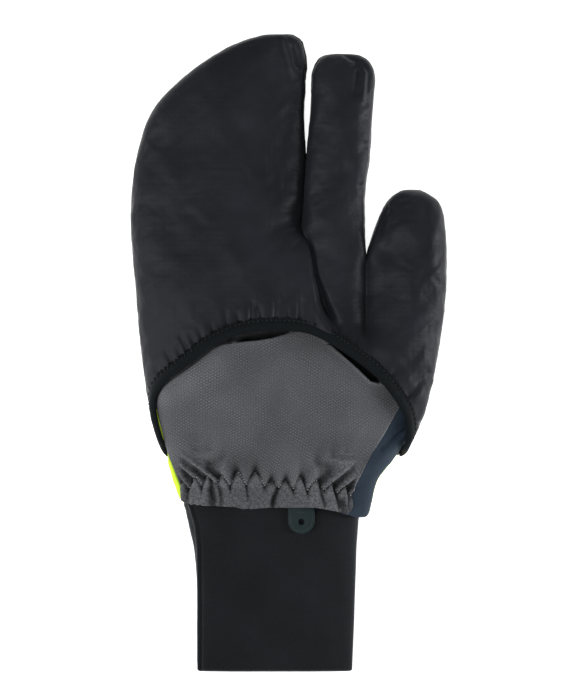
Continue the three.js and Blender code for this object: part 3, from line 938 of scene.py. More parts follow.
# Folds and dents of the cover over the palm side.
# Columns: fromX, fromY, toX, toY, width, depth (a negative depth is a ridge)
coverFolds = [
    (-2, 139, 5, 119, 5, 1.4), (6, 62, -14, 50, 5, 1), (-66, 96, -44, 92, 8, 0.9), (-20, 100, 0, 92, 8, 0.7),
    (31, 131, 27, 112, 4.5, 1), (24, 84, 31, 60, 5, 0.7), (42, 66, 46, 44, 4.5, 1.2), (66, 8, 52, -12, 6, 1),
    (-34, 14, -48, 30, 7, 0.8),
    # small creases beside the slit's lower end
    (4.5, 55, 0.5, 54, 1, 0.45), (6.5, 51, 2.5, 47, 1.1, 0.45),
    # the tip of the mitten, crumpled beside the slit
    (-1.5, 141, 4, 124, 1.3, -1.8), (2.6, 138, 5.5, 130, 1.5, 2.5), (4, 130, 8, 127, 1.1, 0.5),
    (4.5, 126, 8, 124.5, 1.1, 0.4),
    # the tip of the index part
    (32, 127, 30.6, 117, 1.5, 0.9), (36.5, 125, 36, 112, 1.5, 0.9), (34.4, 126, 33.8, 114, 1.5, -0.7),
    (25, 134, 31, 131, 1, 0.9), (27, 130, 33, 131.5, 1, -0.7), (33, 131, 36, 127, 1, 0.8),
    # puckers on the index part's outer side
    (38, 93.5, 35, 93, 1.2, 0.7), (35.8, 75.5, 33, 74.5, 1.2, 0.6), (37.5, 104, 34.5, 105, 1.2, 0.4),
    # the thumb
    (46, 66, 43.4, 50, 1.7, -1.1), (42.6, 67, 45.4, 65, 1.6, 1.4), (50.5, 67, 56, 66.5, 1.2, -0.3),
    (62, 66, 62, 32, 4, 0.5), (63, -9, 55, -18, 2.2, 0.9), (65, -13, 58, -20, 2, -0.6),
    (60, 2, 50, -8, 3, 0.6),
]
coverWaves = [(41, 67, 0.4, 0.22), (-29, 38, 2.1, 0.16), (17, 23, 4.4, 0.07), (-13, 11, 1.2, 0.05)]
# Puckers in the nylon where the band draws it in: share along the hem, length, depth, lean
puckers = [
    (0.12, 5, 0.5, 0.3), (0.16, 6, 0.6, 0.2), (0.2, 4, 0.5, 0.3), (0.235, 7, 0.7, 0.2), (0.262, 5, 0.6, 0.4),
    (0.285, 8, 0.8, 0.3), (0.31, 5, 0.6, 0.2), (0.33, 6, 0.5, 0.3), (0.36, 4, 0.5, 0.1), (0.39, 7, 0.7, 0.3),
    (0.42, 4, 0.6, 0), (0.445, 8, 0.9, 0.2), (0.47, 6, 0.7, -0.2), (0.5, 7, 0.8, 0.1), (0.53, 5, 0.6, -0.2),
    (0.555, 9, 0.9, -0.1), (0.59, 4, 0.35, -0.3), (0.64, 5, 0.3, -0.2), (0.69, 5, 0.3, -0.2),
    (0.74, 4, 0.3, -0.3), (0.8, 5, 0.4, -0.2), (0.86, 5, 0.4, 0), (0.92, 5, 0.4, 0),
]
puckering = {"deep": 1.8, "ridge": 0.1, "ridgeAside": (1.7, 1.9), "samples": 400}

# The base of the index part, between two valleys, turns down towards the thumb, and the mitten's edge stands
# over it with a dark line at its foot. Ranges are by y, unless they say that they are across the step
indexBase = {
    "range": ((0, 14), (46, 60)),
    "lift": 1.2,  # of the mitten's edge
    "liftReach": 8.0,
    "liftEnd": (-0.4, 1.0),  # across the step
    "tilt": 1.8,
    "tiltEnd": (26, 42),
    "tiltPower": 2.4,
    "step": 3.0,  # down from the mitten's edge
    "stepAcross": (-0.8, 1.6),  # across the step, times the spread
    "spread": 1.3,  # how much wider the step is at its lower end
    "spreadEnd": (14, 38),
    "fadeOut": (0.98, 2.0),  # in widths of the base, past the thumb's valley
    "crease": 2.4,  # depth of the line at the step's foot
    "creaseAt": (0.9, 1.1),  # its place and width, across the step, times the spread
    "creaseRange": ((8, 20), (48, 54)),
}
# Below the crotch a deep crease parts it from the thumb, with a slight shoulder on the thumb's side
thumbCrease = {
    "x": 35.0, "depth": 4.9, "width": 2.9, "sharp": 0.6, "range": ((0, 12), (38, 46)),
    "shoulder": (1.0, 6, 4),  # depth, distance, reach
}
# Both valleys are x by y
slitValley = [(0, 24.5), (12, 18.6), (21.4, 14.3), (28, 13), (35, 11.2), (44, 9.9), (49, 8.6), (56, 6.4)]
thumbValley = [(2, 40), (12, 38), (30, 37), (43, 35.7)]


def turnedBase(x, y):
    left = sectionAt(slitValley, y)[0]
    aside = x - left
    t = aside / (between(thumbValley, y) - left)
    wide = 1 + indexBase["spread"] * (1 - smooth(y, *indexBase["spreadEnd"]))
    lift = indexBase["lift"] * bell(aside, indexBase["liftReach"])
    lift *= 1 - smooth(aside, *indexBase["liftEnd"])
    fall = indexBase["tilt"] * np.clip(t, 0, 1) ** indexBase["tiltPower"]
    fall *= 1 - smooth(y, *indexBase["tiltEnd"])
    fall += indexBase["step"] * smooth(aside / wide, *indexBase["stepAcross"])
    height = window(y, *indexBase["range"]) * (lift - fall * (1 - smooth(t, *indexBase["fadeOut"])))
    line, width = indexBase["creaseAt"]
    crease = indexBase["crease"] * wide ** 0.8 * bell(aside - line * wide, width * wide)
    height -= crease * window(y, *indexBase["creaseRange"])
    aside = x - thumbCrease["x"]
    crease = thumbCrease["depth"] * np.exp(-np.hypot(aside, thumbCrease["sharp"]) / thumbCrease["width"])
    shoulder, at, reach = thumbCrease["shoulder"]
    return height - window(y, *thumbCrease["range"]) * (crease - shoulder * bell(aside - at, reach))


def puckered(x, y):
    points, outward, _ = hemCurve(puckering["samples"])
    height = np.zeros_like(x)
    for share, length, depth, lean in puckers:
        k = int(share * (puckering["samples"] - 1))
        along = np.array([outward[k, 1], -outward[k, 0]])
        way = outward[k] + lean * along
        start = points[k] + outward[k] * (binding["width"] - 1)
        end = start + way / np.linalg.norm(way) * length
        distance, t = toLine(x, y, *start, *end)
        height -= puckering["deep"] * depth * bell(distance, 0.65 + 0.8 * t) * (1 - 0.6 * t)
        atStart, atEnd = puckering["ridgeAside"]
        distance, t = toLine(x, y, *(start + along * atStart), *(end + along * atEnd))
        height += puckering["ridge"] * depth * bell(distance, 1.2 + 0.6 * t) * (1 - 0.7 * t)
    return height


# The two halves of the cover meet in a seam low on the sides
coverSeam = {
    "pitch": 4.7,  # from one small gather to the next
    "turn": 1.6,  # distance from the seam at which the cloth begins to turn in
    "depth": 0.7,
    "gather": (0.12, 0.1),  # depth of its gathers on the turned edge, and beside it over a reach
    "gatherReach": 4,
    "radius": 60,  # of the circle round the cover that the gathers' places are counted on
    "middleY": 20,
    "overlap": 0.5,  # how far the back's edge reaches up behind the palm side's
    "allowance": (1.4, 0.4),  # how far it turns in there, and over which height
    "cutApart": 0.02,
}


def seamTuck(points, normals, side):  # side is 1 for the palm side and -1 for the back
    x, y, z = points.T
    away = np.abs(z - body["seamHeight"])
    around = np.arctan2(y - coverSeam["middleY"], x) * coverSeam["radius"]
    gather = 0.5 + 0.5 * np.sin(2 * math.pi * around / coverSeam["pitch"] + 2 * np.sin(around / 9))
    turn = np.clip(1 - away / coverSeam["turn"], 0, 1) ** 2
    tucked = turn * (coverSeam["depth"] + side * coverSeam["gather"][0] * gather)
    tucked += coverSeam["gather"][1] * gather * bell(away, coverSeam["gatherReach"])
    if side < 0:
        depth, rise = coverSeam["allowance"]
        tucked += depth * smooth(z, body["seamHeight"], body["seamHeight"] + rise)
    return points - normals * tucked[:, None]


def cutAt(bm, axis, height, keepMore, clear=True):  # cuts a mesh across an axis, and clears away one side
    plane = Vector([k == axis for k in range(3)])
    bmesh.ops.bisect_plane(
        bm, geom=bm.verts[:] + bm.edges[:] + bm.faces[:], dist=0.01 * mm, clear_inner=clear,
        plane_co=plane * ((height + shift[axis]) * mm), plane_no=plane if keepMore else -plane,
    )


def inOpening(points, reach):  # inside the open edge, moved out by reach
    line, outward, _ = hemCurve(240)
    edge = line + outward * reach
    edge = np.concatenate([[[edge[0, 0], -99]], edge, [[edge[-1, 0], -99]]])
    x, y = points[:, 0], points[:, 1]
    inside = np.zeros(len(points), bool)
    for (ax, ay), (bx, by) in zip(edge, np.roll(edge, -1, axis=0)):
        crosses = (ay > y) != (by > y)
        with np.errstate(divide="ignore", invalid="ignore"):
            inside ^= crosses & (x < (bx - ax) * (y - ay) / (by - ay) + ax)
    return inside


def relief(points, normals):  # the folds stand along the cloth's normals, the turned base moves straight down
    x, y, z = points.T
    crown = smooth(z, body["seamHeight"], body["seamHeight"] + 8)
    moved = points + normals * (crown * (foldedBy(x, y, coverFolds) + ripple(x, y, coverWaves)))[:, None]
    moved[:, 2] += turnedBase(x, y) * np.clip((z - body["seamHeight"]) / 14, 0, 1)
    return moved


def makeCoverPalm():
    piece = newPiece("cover_palm_shell", coverBody.data.copy())

    def cut(bm):
        cutAt(bm, 2, body["seamHeight"] + coverSeam["cutApart"], True)
        centres = np.array([f.calc_center_median() for f in bm.faces]) / mm - shift
        gone = inOpening(centres, hem["overlap"]) | (centres[:, 1] < body["wristEnd"])
        bmesh.ops.delete(bm, geom=[f for f, g in zip(bm.faces, gone) if g], context="FACES")
    editMesh(piece, cut)
    subdivided = piece.modifiers.new("subdivided", "SUBSURF")
    subdivided.levels = subdivided.render_levels = 1
    applyAll(piece)
    points, normals = readPoints(piece.data), readNormals(piece.data)
    pucker = smooth(points[:, 2], 10, 14) * puckered(points[:, 0], points[:, 1])
    points = relief(points, normals) + normals * pucker[:, None]
    writePoints(piece.data, seamTuck(points, normals, 1))
    return thicken(piece, body["palmWall"])


def makeCoverBack():
    piece = newPiece("cover_back_shell", coverBody.data.copy())

    def cut(bm):
        cutAt(bm, 2, body["seamHeight"] + coverSeam["overlap"], False)
        cutAt(bm, 2, body["seamHeight"] - coverSeam["cutApart"], False, clear=False)
        cutAt(bm, 1, body["wristEnd"], True)
    editMesh(piece, cut)
    points, normals = readPoints(piece.data), readNormals(piece.data)
    height = smooth(points[:, 2], 0, 3) * ripple(points[:, 0], points[:, 1], coverWaves)
    points = seamTuck(points + normals * height[:, None], normals, -1)
    points[:, 2] = np.maximum(points[:, 2], 0)
    writePoints(piece.data, points)
    return thicken(piece, body["backWall"])


finishPiece(makeCoverPalm(), nylon, "cover_nylon", "cover_palm")
finishPiece(makeCoverBack(), nylon, "cover_nylon", "cover_back")
finishPiece(makeBand(), elastic, "binding_elastic", "cover_binding")
finishPiece(bandStitches(), blackThread, "binding_elastic")
writePoints(coverBody.data, relief(readPoints(coverBody.data), readNormals(coverBody.data)))
coverSkin = surfaceOf(coverBody)  # with the folds, for the hand inside to keep clear of
print("wind cover made")


# The hand of the glove: sections that each stand across Y, from the frilled wrist to the rim inside the cover
hand = {
    "widest": 10.0,
    "backSeam": 7.0,
    "wall": 1.3,
    "rim": 26.0,  # how far along Y the hand runs on inside the cover
    "edgeRoll": 0.9,
    "clearance": 2.0,  # from the cover's outer face
    "backClearance": 3.4,
    "intoCover": ((-58, -38), -50, (-1.2, 0)),  # both grow along Y, from a Y on, and across the hem
}
# Columns: y, left, right, top, bottom
handSections = [
    (-77, -45.2, 36, 22.6, 0), (-72, -46.5, 37, 23, 0), (-69, -47.3, 37.7, 23.1, 0),
    (-66, -48.7, 38.4, 22.8, 0), (-63, -49.8, 39, 22.2, 0), (-60, -50.7, 39.8, 22, 0.3),
    (-57, -51.9, 41, 22.5, 0.8), (-54, -52.8, 43.2, 23.1, 1.2), (-50, -54, 46.6, 23.8, 1.6),
    (-44, -54.6, 51, 24.5, 1.6), (-36, -57.6, 56, 24.9, 1.6), (-20, -62, 61, 24.9, 1.6),
    (2, -65.4, 65.6, 22.6, 1.6), (28, -68, 69, 17, 1.6),
]
# The seams of the palm, as x by y
outerSeam = [
    (-80, -46.2), (-68, -46.9), (-60, -48.6), (-48, -53.4), (-43.8, -54.8), (-34.6, -57.2), (-25, -59.2),
    (-8, -61.8), (30, -64),
]
thumbSeam = [(-80, 28.4), (-64, 28.4), (-48, 37.1), (-26, 49.5), (-8, 60), (8, 68)]
# The frilled end of the palm and the rounded corner of the thumb-side panel, as y by x
wristEdge = [
    (-60, -66.4), (-47, -66.8), (-39, -68.2), (-24, -68.8), (-12, -69.2), (-6.8, -70.4), (-1, -69.5),
    (11.6, -69.5), (20.7, -71.2), (26, -73), (29, -74.3), (33.7, -74.3), (36.4, -72.4), (38, -68), (60, -60),
]


def angleOfX(y, x):  # where a seam at x stands on the crown of the section at y
    left, right, _, _ = sectionAt(handSections, y)
    across = np.clip((2 * x - left - right) / (right - left), -1, 1)
    return np.arccos(np.clip(np.sign(across) * np.abs(across) ** (section["crownPower"] / 2), -1, 1))


def angleOfBackSeam(y, side):  # side is 1 for the thumb side and -1 for the outer side
    _, _, _, bottom = sectionAt(handSections, y)
    down = (hand["widest"] - hand["backSeam"]) / ((hand["widest"] - bottom) * section["underBulge"])
    dip = np.arcsin(np.clip(down, 0, 1) ** (section["underPower"] / 2))
    return -dip if side > 0 else math.pi + dip


def handPoint(y, angle):
    left, right, top, bottom = sectionAt(handSections, y)
    half, z = oval(angle, hand["widest"], top, bottom, section["crownPower"])
    return np.stack([left + (right - left) * half, y, z], axis=1)


def insideCover(points, y, clearance):  # the hand narrows into the cover, but may swell inside its open edge
    rise, start, acrossHem = hand["intoCover"]
    inside, _ = fromPath(points[:, 0], y, hemCurve(60)[0])
    clearance = clearance * smooth(y, *rise) * (y > start) * smooth(inside, *acrossHem)
    return keepInside(points, coverSkin, clearance)


# The gathers over the elastic at the wrist. Its stitched line goes down to a pinch between every two puffs of
# the frill and up over each puff. Above the line, folds run up into the palm from the pinches
gather = {
    "groove": 1.1,  # depth of the stitched line
    "grooveWidth": 0.6,
    "puff": 2.0,  # height of the frill's puffs
    "frill": 9,  # its length, over which the puffs widen
    "folds": 3.6,  # height of the folds above the line
    "foldsFrom": 1.5,  # the folds begin to lean this far above the line
    "sides": ((-49.3, -46.5), (29, 31)),
    "middle": -8,  # the x that the pinches' flanks face away from
}
pinches = [
    (-49.5, -60.5), (-44.1, -61), (-38.4, -59.7), (-32.4, -58.5), (-25.8, -59.4), (-18.5, -59.1),
    (-10.4, -59.6), (-4.3, -60.3), (2.3, -61), (8.6, -61.6), (16.2, -61.6), (22.2, -62.9), (27.9, -64.1),
    (33, -65),
]
puffTops = [-57.8, -55.5, -54.9, -55.2, -53.6, -53.7, -57.8, -57.6, -55.8, -56.9, -58.3, -59.4, -62]
# How far the folds lean towards the thumb for each millimetre up, and how far up they reach, by x
foldLean = [
    (-46, -0.8), (-38, -1.3), (-30, -1.3), (-24, -0.5), (-16, 0), (2, 0.1), (8, 0.6), (14, 1.2), (27, 1.4),
]
foldReach = [
    (-46, 6.5), (-36, 8.5), (-28, 5), (-18, 2.4), (-2, 1.8), (6, 3.4), (14, 8), (22, 10), (28, 8),
]
# Creases down the frill: x at the line, x at the edge, width, depth, share of the frill that they reach
frillCreases = [
    (-44.5, -44.6, 1, 1.6, 1), (-38.4, -37.8, 0.8, 0.9, 0.3), (-34.4, -33.4, 1.5, 3, 1),
    (-31.4, -29.4, 0.75, 1.6, 1), (-25.8, -24.8, 0.9, 0.9, 0.35), (-18.6, -17.5, 0.55, 1.2, 0.8),
    (-10.4, -11.2, 0.9, 0.8, 0.3), (-4.3, -6.7, 0.75, 3.6, 1), (2.3, 4, 0.9, 0.9, 0.35),
    (8.6, 10, 1.1, 1, 0.4), (13.8, 17, 1.3, 1.9, 0.75), (20.3, 24.6, 1.5, 2.6, 1), (26.6, 27.6, 0.9, 1.6, 1),
]


def elasticLine(x):  # the stitched line's place along Y, how far x is over a puff, and across it, 0 to 1
    xs = np.array([p[0] for p in pinches])
    k = np.clip(np.searchsorted(xs, x) - 1, 0, len(puffTops) - 1)
    t = np.clip((x - xs[k]) / (xs[k + 1] - xs[k]), 0, 1)
    base = between(pinches, x)
    return base + (np.array(puffTops)[k] - base) * (1 - np.abs(2 * t - 1) ** 1.2), np.sin(math.pi * t), t


def gathered(x, y):  # height of the gathered cloth over the smooth palm
    root = x
    for _ in range(4):  # back along the lean to where the fold at x comes from
        up = np.maximum(y - between(pinches, root) - gather["foldsFrom"], 0)
        root = x - between(foldLean, root) * up
    line, over, across = elasticLine(x)
    above = y - line
    rooted = elasticLine(root)[1]
    folds = gather["folds"] * (0.6 - 1.6 * rooted ** 2)
    folds *= np.exp(-np.maximum(above, 0) / between(foldReach, root))
    down = np.clip(-above / gather["frill"], 0, 1)
    puff = gather["puff"] * (0.55 + 0.45 * over ** 0.6 + 0.42 * (1 - over) * smooth(down, 0.05, 0.45))
    puff *= smooth(-above, -0.2, 2.2)
    for atLine, atEdge, width, depth, reach in frillCreases:
        aside = x - atLine * (1 - down) - atEdge * down
        fade = smooth(-above, -1, 1.5) * (1 - smooth(down, reach - 0.15, reach + 0.35))
        puff -= depth * bell(aside, width * (0.6 + 0.7 * down)) * fade
    low = smooth(-above, -0.5, 0.5)
    flank = np.tanh(3 * (2 * across - 1)) * np.sign(x - gather["middle"])
    groove = gather["groove"] * (0.65 + 0.35 * flank) * bell(above, gather["grooveWidth"])
    return window(x, *gather["sides"]) * ((1 - low) * folds + low * puff - groove)


# Beside the band the palm stops short of it in two places, where the glove drops away. On the outer side it
# swells up to the band instead. Depths and heights are by share along the path and along the hem
palmDrops = [
    ([(11, 8.4), (16.6, 5.6), (20.2, 2.7), (29.8, -5.8), (37.2, -12.9), (41.2, -14.1)],
     [(0, 0), (0.2, 4), (0.4, 9), (0.8, 11), (0.93, 9), (1, 0)]),
    ([(-24, 4), (-19, 4.9), (-14, 5.3), (-8, 6.3), (-2, 7.9), (2, 9)], [(0, 0), (0.25, 9), (0.7, 9), (1, 0)]),
]
dropReach = 9
palmSwell = [(0, 0), (0.13, 0), (0.19, 1.9), (0.34, 1.9), (0.4, 0.4), (0.45, 0), (1, 0)]


def atBand(x, y):
    height = np.zeros_like(x)
    for path, depths in palmDrops:
        beyond, along = fromPath(x, y, path)
        drop = smooth(beyond, 0, 1.3) * bell(beyond, dropReach)
        height += between(depths, along) * (0.05 * bell(beyond + 0.7, 0.7) - drop)
    beyond, along = fromPath(x, y, hemCurve(60)[0])
    return height + between(palmSwell, along) * window(-beyond, (0.2, 1.6), (4, 15))


# Dents in the palm, where it falls away under the band, and in the navy panel, as for the cover's folds
palmFolds = [
    (-52, -22, -30, -27, 9, -0.7), (-46, -34, -20, -44, 9, 0.6), (20, -30, 36, -46, 8, 0.6),
    (-10, -20, 20, -14, 12, -0.5), (33, -34, 24, -50, 3, -0.5), (-36, -50, -30, -57, 2, 0.5),
]
navyFolds = [
    (54.5, -34.3, 42, -43.5, 0.8, 1.5), (56, -31, 48, -36, 3, 1), (53, -38.2, 43, -46, 2, -1),
    (40, -48, 33, -66, 3.5, -0.5),
]


def palmSide(points, folds):
    x, y, z = points.T
    return smooth(z, hand["widest"], hand["widest"] + 7) * foldedBy(x, y, folds)


# The palm's piece, the painted light and shade that lighten or darken its face, and where it loses its dots
# because it is pleated
palm = {
    "grid": (240, 200),
    "crowded": (0.3, 0),
    "start": -68.6,
    "rowPower": 1.25,  # crowds the rows at the frill
    "cornerRound": 4.5,  # the frill's corner on the thumb side: depth, x and length
    "corner": (24.6, 3.9),
    "frillRoll": 1.6,
    "pleated": ((43, 52), (12, 28), (55.5, 59), 0.85),  # along -Y, away from the middle, the frill, share
    # Painted light over the gathers and the frill: higher cloth is painted lighter and creases are painted
    # darker, by their height
    "dotWearAndFoldLight": ((40, 50), 1.6, (-1, 0.6)),  # along -Y, height that counts as 1, limits
    "puffMiddle": 1.5,  # height of the frill that is neither light nor dark
    "frillDark": (0.18, (56, 61)),
    # Painted highlights along the palm's edge beside the navy panel and along its edges at the drops; the
    # drops themselves get painted shade
    "seamLight": (1.6, 0.45, (-66, -60)),  # the edge beside the navy panel catches light
    "dropLight": (0.9, (12, 20)),
    "dropDark": 1.6,
}
# Its end inside the cover, as y by x
palmTop = [(-64, -4), (-52, 8), (-32, 16), (-5, 24), (20, 18), (40, 2), (56, -10), (70, -14)]
# Patches of painted sheen (paler) and painted shade (darker) on its face: x, y, radius, amount
palmPatches = [
    (-36, -7, 8, 0.5), (-47, -13, 9, 0.55), (-57.5, -22, 6, 0.5), (-57, -33, 4, 0.5), (-52.5, -46, 6, 0.3),
    (-49, -27, 5, -0.15), (4, -6, 18, -0.16), (12, -34, 16, -0.1), (-30, -36, 14, 0.04),
    (45, -21.5, 4.5, -0.5), (-20, -2, 8, -0.1), (30, -24, 9, -0.08), (34, -40, 6, 0.1), (-34, -20, 9, 0.25),
]


def palmRelief(points):
    x, y, z = points.T
    height = smooth(z, hand["widest"] - 2, hand["widest"] + 6) * gathered(x, y) + palmSide(points, palmFolds)
    return height + atBand(x, y)


def palmPleats(x, y):
    above, aside, frill, share = palm["pleated"]
    pleated = smooth(-y, *above) * smooth(np.abs(x - gather["middle"]), *aside)
    return np.maximum(pleated, smooth(-y, *frill)) * share


# The painted light and shade of the palm's face, from the cloth's height, the seam, the drops and the
# patches; it is also darker over the frill
def palmPaintedLight(x, y, height, fromSeam):
    above, unit, limits = palm["dotWearAndFoldLight"]
    puff = palm["puffMiddle"] * smooth(-60 - y, -1, 1)
    paintedLight = smooth(-y, *above) * np.clip((height - puff) / unit, *limits)
    paintedLight -= palm["frillDark"][0] * smooth(-y, *palm["frillDark"][1])
    for patchX, patchY, radius, amount in palmPatches:
        paintedLight += amount * bell(np.hypot(x - patchX, y - patchY), radius)
    light, width, rise = palm["seamLight"]
    paintedLight += light * bell(fromSeam - width, width) * smooth(y, *rise)
    for path, _ in palmDrops:
        beyond = fromPath(x, y, path)[0]
        paintedLight += palm["dropLight"][0] * bell(beyond + 0.5, 0.55) * (smooth(x, *palm["dropLight"][1]) + 0.2)
        paintedLight -= palm["dropDark"] * smooth(beyond, 0.1, 1.4) * bell(beyond, dropReach)
    return paintedLight


def makePalm():
    values = {}

    def place(u, v):
        rows = palm["start"] + (hand["rim"] - palm["start"]) * v ** palm["rowPower"]
        x = between(outerSeam, rows) * (1 - u) + between(thumbSeam, rows) * u
        corner = np.clip((x - palm["corner"][0]) / palm["corner"][1], 0, 1)
        edge = between(wristEdge, x) + palm["cornerRound"] * (1 - np.sqrt(1 - corner ** 2))
        for _, atEdge, width, _, reach in frillCreases:
            edge = edge + 0.5 * (reach == 1) * bell(x - atEdge, width)
        y = rows + (edge - rows.min()) * (1 - smooth(v, 0, 0.45))
        y = y + (between(palmTop, x) - hand["rim"]) * smooth(v, 0.55, 1)
        start, end = angleOfX(y, between(outerSeam, y)), angleOfX(y, between(thumbSeam, y))
        return handPoint(y, start + (end - start) * u)

    def shape(points, normals, cloth):
        x, y, _ = points.T
        height = palmRelief(points)
        points = points + normals * height[:, None]
        points = rollEdges(points, normals, (cloth["left"], cloth["right"]), hand["edgeRoll"])
        points = rollEdges(points, normals, (cloth["start"],), palm["frillRoll"])
        values["pleated"] = palmPleats(x, y)
        values["paintedLight"] = palmPaintedLight(x, y, height, cloth["right"])
        return insideCover(points, y, hand["clearance"])

    def clothUV(points):  # lengths over the section from its middle, and along Y
        x, y, _ = points.T
        angle = angleOfX(y, x)
        line = [handPoint(y, math.pi / 2 + (angle - math.pi / 2) * step) for step in np.linspace(0, 1, 25)]
        across = np.linalg.norm(np.diff(line, axis=0), axis=2).sum(axis=0)
        return np.stack([np.sign(math.pi / 2 - angle) * across, y], axis=1)
    piece = layGrid("palm_panel_gathered", palm["grid"], place, shape, palm["crowded"], clothUV=clothUV)
    for name in ("paintedLight", "pleated"):
        piece.data.attributes.new(name, "FLOAT", "POINT").data.foreach_set("value", values[name])
    return thicken(piece, hand["wall"])


palmThread = {"from": -45.5, "to": 29, "pitch": 1.25, "proud": 0.35}
palmStitch = {"length": 1.0, "width": 0.6, "height": 0.5}


def palmStitches():
    x = np.arange(palmThread["from"], palmThread["to"], palmThread["pitch"] / 3)
    path = np.stack([x, elasticLine(x)[0]], axis=1)
    length = spaced(path)
    at = np.arange(0, length[-1], palmThread["pitch"])
    x, y = (np.interp(at, length, path[:, k]) for k in (0, 1))
    places = handPoint(y, angleOfX(y, x))
    places[:, 2] += gathered(x, y) + palmThread["proud"]
    upwards = np.tile((0, 0, 1), (len(x), 1))
    return sew("palm_panel_stitches", zip(places, np.gradient(places, axis=0), upwards), size=palmStitch)


# The navy panel on the thumb side runs in under the palm's edge. Both of its edges are x by y
gusset = {"grid": (60, 130), "crowded": (0.3, 0), "start": -74.3, "end": 8, "under": 0.35, "innerRoll": 1.5}
gussetInner = [(-80, 23.5), (-68, 25), (-62, 28.6), (-48, 35.9), (-26, 48.3), (-8, 58.8), (8, 66.8)]
gussetOuter = [(-80, 38), (-60, 40), (-20, 61), (30, 69)]


def makeGusset():
    def place(u, v):
        rows = gusset["start"] + (gusset["end"] - gusset["start"]) * v
        x = between(gussetInner, rows) * (1 - u) + between(gussetOuter, rows) * u
        y = rows + (between(wristEdge, x) - gusset["start"]) * (1 - smooth(v, 0, 0.5))
        start, end = angleOfX(y, between(gussetInner, y)), angleOfBackSeam(y, 1)
        return handPoint(y, start + (end - start) * u)

    def shape(points, normals, cloth):
        y = points[:, 1]
        points = points + normals * (palmSide(points, navyFolds) - gusset["under"])[:, None]
        points = rollEdges(points, normals, (cloth["left"],), gusset["innerRoll"])
        points = rollEdges(points, normals, (cloth["right"], cloth["start"]), hand["edgeRoll"])
        return insideCover(points, y, hand["clearance"])
    piece = layGrid("side_gusset_panel", gusset["grid"], place, shape, gusset["crowded"])
    return thicken(piece, hand["wall"])


back = {
    "grid": (150, 100), "crowded": (0.3, 0), "start": -66.4, "rimIn": 4, "underPalm": 0.2,
    "gather": (0.25, 2.2, -61, 5),  # over the wrist's elastic: height, spacing, y, reach
}


def makeBackPanel():
    def place(u, v):
        y = back["start"] + (hand["rim"] - back["rimIn"] - back["start"]) * v
        start = angleOfBackSeam(y, 1) + 2 * math.pi
        end = angleOfX(y, between(outerSeam, y) - back["underPalm"])
        return handPoint(y, start + (end - start) * u)

    def shape(points, normals, cloth):
        x, y, _ = points.T
        height, spacing, middle, reach = back["gather"]
        height = height * np.sin(x / spacing) * bell(y - middle, reach)
        points = points + normals * height[:, None]
        points = rollEdges(points, normals, (cloth["left"], cloth["right"], cloth["start"]), hand["edgeRoll"])
        points = insideCover(points, y, hand["backClearance"])
        points[:, 2] = np.maximum(points[:, 2], 0)
        return points
    piece = layGrid("back_panel_softshell", back["grid"], place, shape, back["crowded"])
    return thicken(piece, hand["wall"])


finishPiece(makePalm(), palmCloth, "palm_synthetic", "palm_panel")
finishPiece(palmStitches(), greyThread, "palm_synthetic")
finishPiece(makeGusset(), navyCloth, "side_softshell", "side_gusset")
finishPiece(makeBackPanel(), neonCloth, "back_softshell", "back_panel")
print("hand made")


# The knit cuff, folded double at its end. Columns: y, left, right, top, bottom
cuff = {
    "grid": (190, 130),
    "crowded": (0, 0.25),
    "start": -143.7,
    "end": -47.5,
    "widest": 8.0,
    "wall": 1.8,
    "foldRoll": 1.1,
    "seamRidge": (0.7, -0.7, 0.8),  # height, distance from the seam, width
    "seamLine": (0.5, 0.3, 0.6),
}
cuffSections = [
    (-143.7, -40.2, 28.9, 13, 0), (-126, -40.7, 29.6, 13.8, 0), (-102, -41.3, 30.6, 15, 0),
    (-88, -42.5, 31.1, 16, 0), (-76, -45, 31.6, 17, 1.6), (-71, -46.1, 32.2, 17.3, 2.4),
    (-67.8, -46.9, 32.6, 17.4, 2.6), (-66.3, -45, 32.9, 17.4, 2.8), (-60, -46.9, 35.4, 17.7, 3.2),
    (-54, -49, 39, 18.4, 3.7), (-46, -50.6, 44, 19.6, 4.2),
]
cuffSeam = [(-143.7, -39.3), (-88, -39.6), (-78, -40.6), (-68, -43.4), (-46, -47)]
cuffWaves = [(70, 55, 1.1, 0.16), (-23, 90, 0.3, 0.08), (9, 120, 2.2, 0.03)]


def makeCuff():
    def place(u, v):
        y = cuff["start"] + (cuff["end"] - cuff["start"]) * v
        left, right, top, bottom = sectionAt(cuffSections, y)
        half, z = oval(2 * math.pi * (1 - u), cuff["widest"], top, bottom, section["crownPower"])
        return np.stack([left + (right - left) * half, y, z], axis=1)

    def shape(points, normals, cloth):
        x, y, z = points.T
        aside = x - between(cuffSeam, y)
        ridge, line = (height * bell(aside - at, width) for height, at, width in (
            cuff["seamRidge"], cuff["seamLine"]))
        height = smooth(z, cuff["widest"] - 1, cuff["widest"] + 1) * (ridge - line)
        height += smooth(z, 1, 5) * ripple(x, y, cuffWaves)
        points = rollEdges(points + normals * height[:, None], normals, (cloth["start"],), cuff["foldRoll"])
        points[:, 2] = np.maximum(points[:, 2], 0)
        return points
    sleeve = layGrid("wrist_cuff_knit", cuff["grid"], place, shape, cuff["crowded"], closed=True)
    return thicken(editMesh(sleeve, mergeSeam), cuff["wall"])


# The pull tab, sewn on under the frill
tab = {
    "x": 6.0, "z": 17.7, "slope": 0.045, "width": 12.0, "thickness": 1.2, "bevel": 0.35, "roundSteps": 20,
    "sewnY": -66.0, "roundY": -75.4, "holeY": -76.0, "holeRadius": 1.3,
}
# Its stitches: their number down each side, round the end and in the row across, and their places
tabThread = {
    "down": 7, "round": 12, "row": 5, "inset": 1.2, "from": 2.5, "pitch": 1.15,
    "rowFrom": 5.6, "rowPitch": 0.8,
}
tabStitch = {"length": 0.85, "width": 0.32, "height": 0.24}


def onTab(x, y, lift):  # a point on the tab's outer face, raised by lift
    z = tab["z"] + (y - tab["sewnY"]) * math.tan(tab["slope"]) + tab["thickness"] + lift
    return np.array([x, y, z])


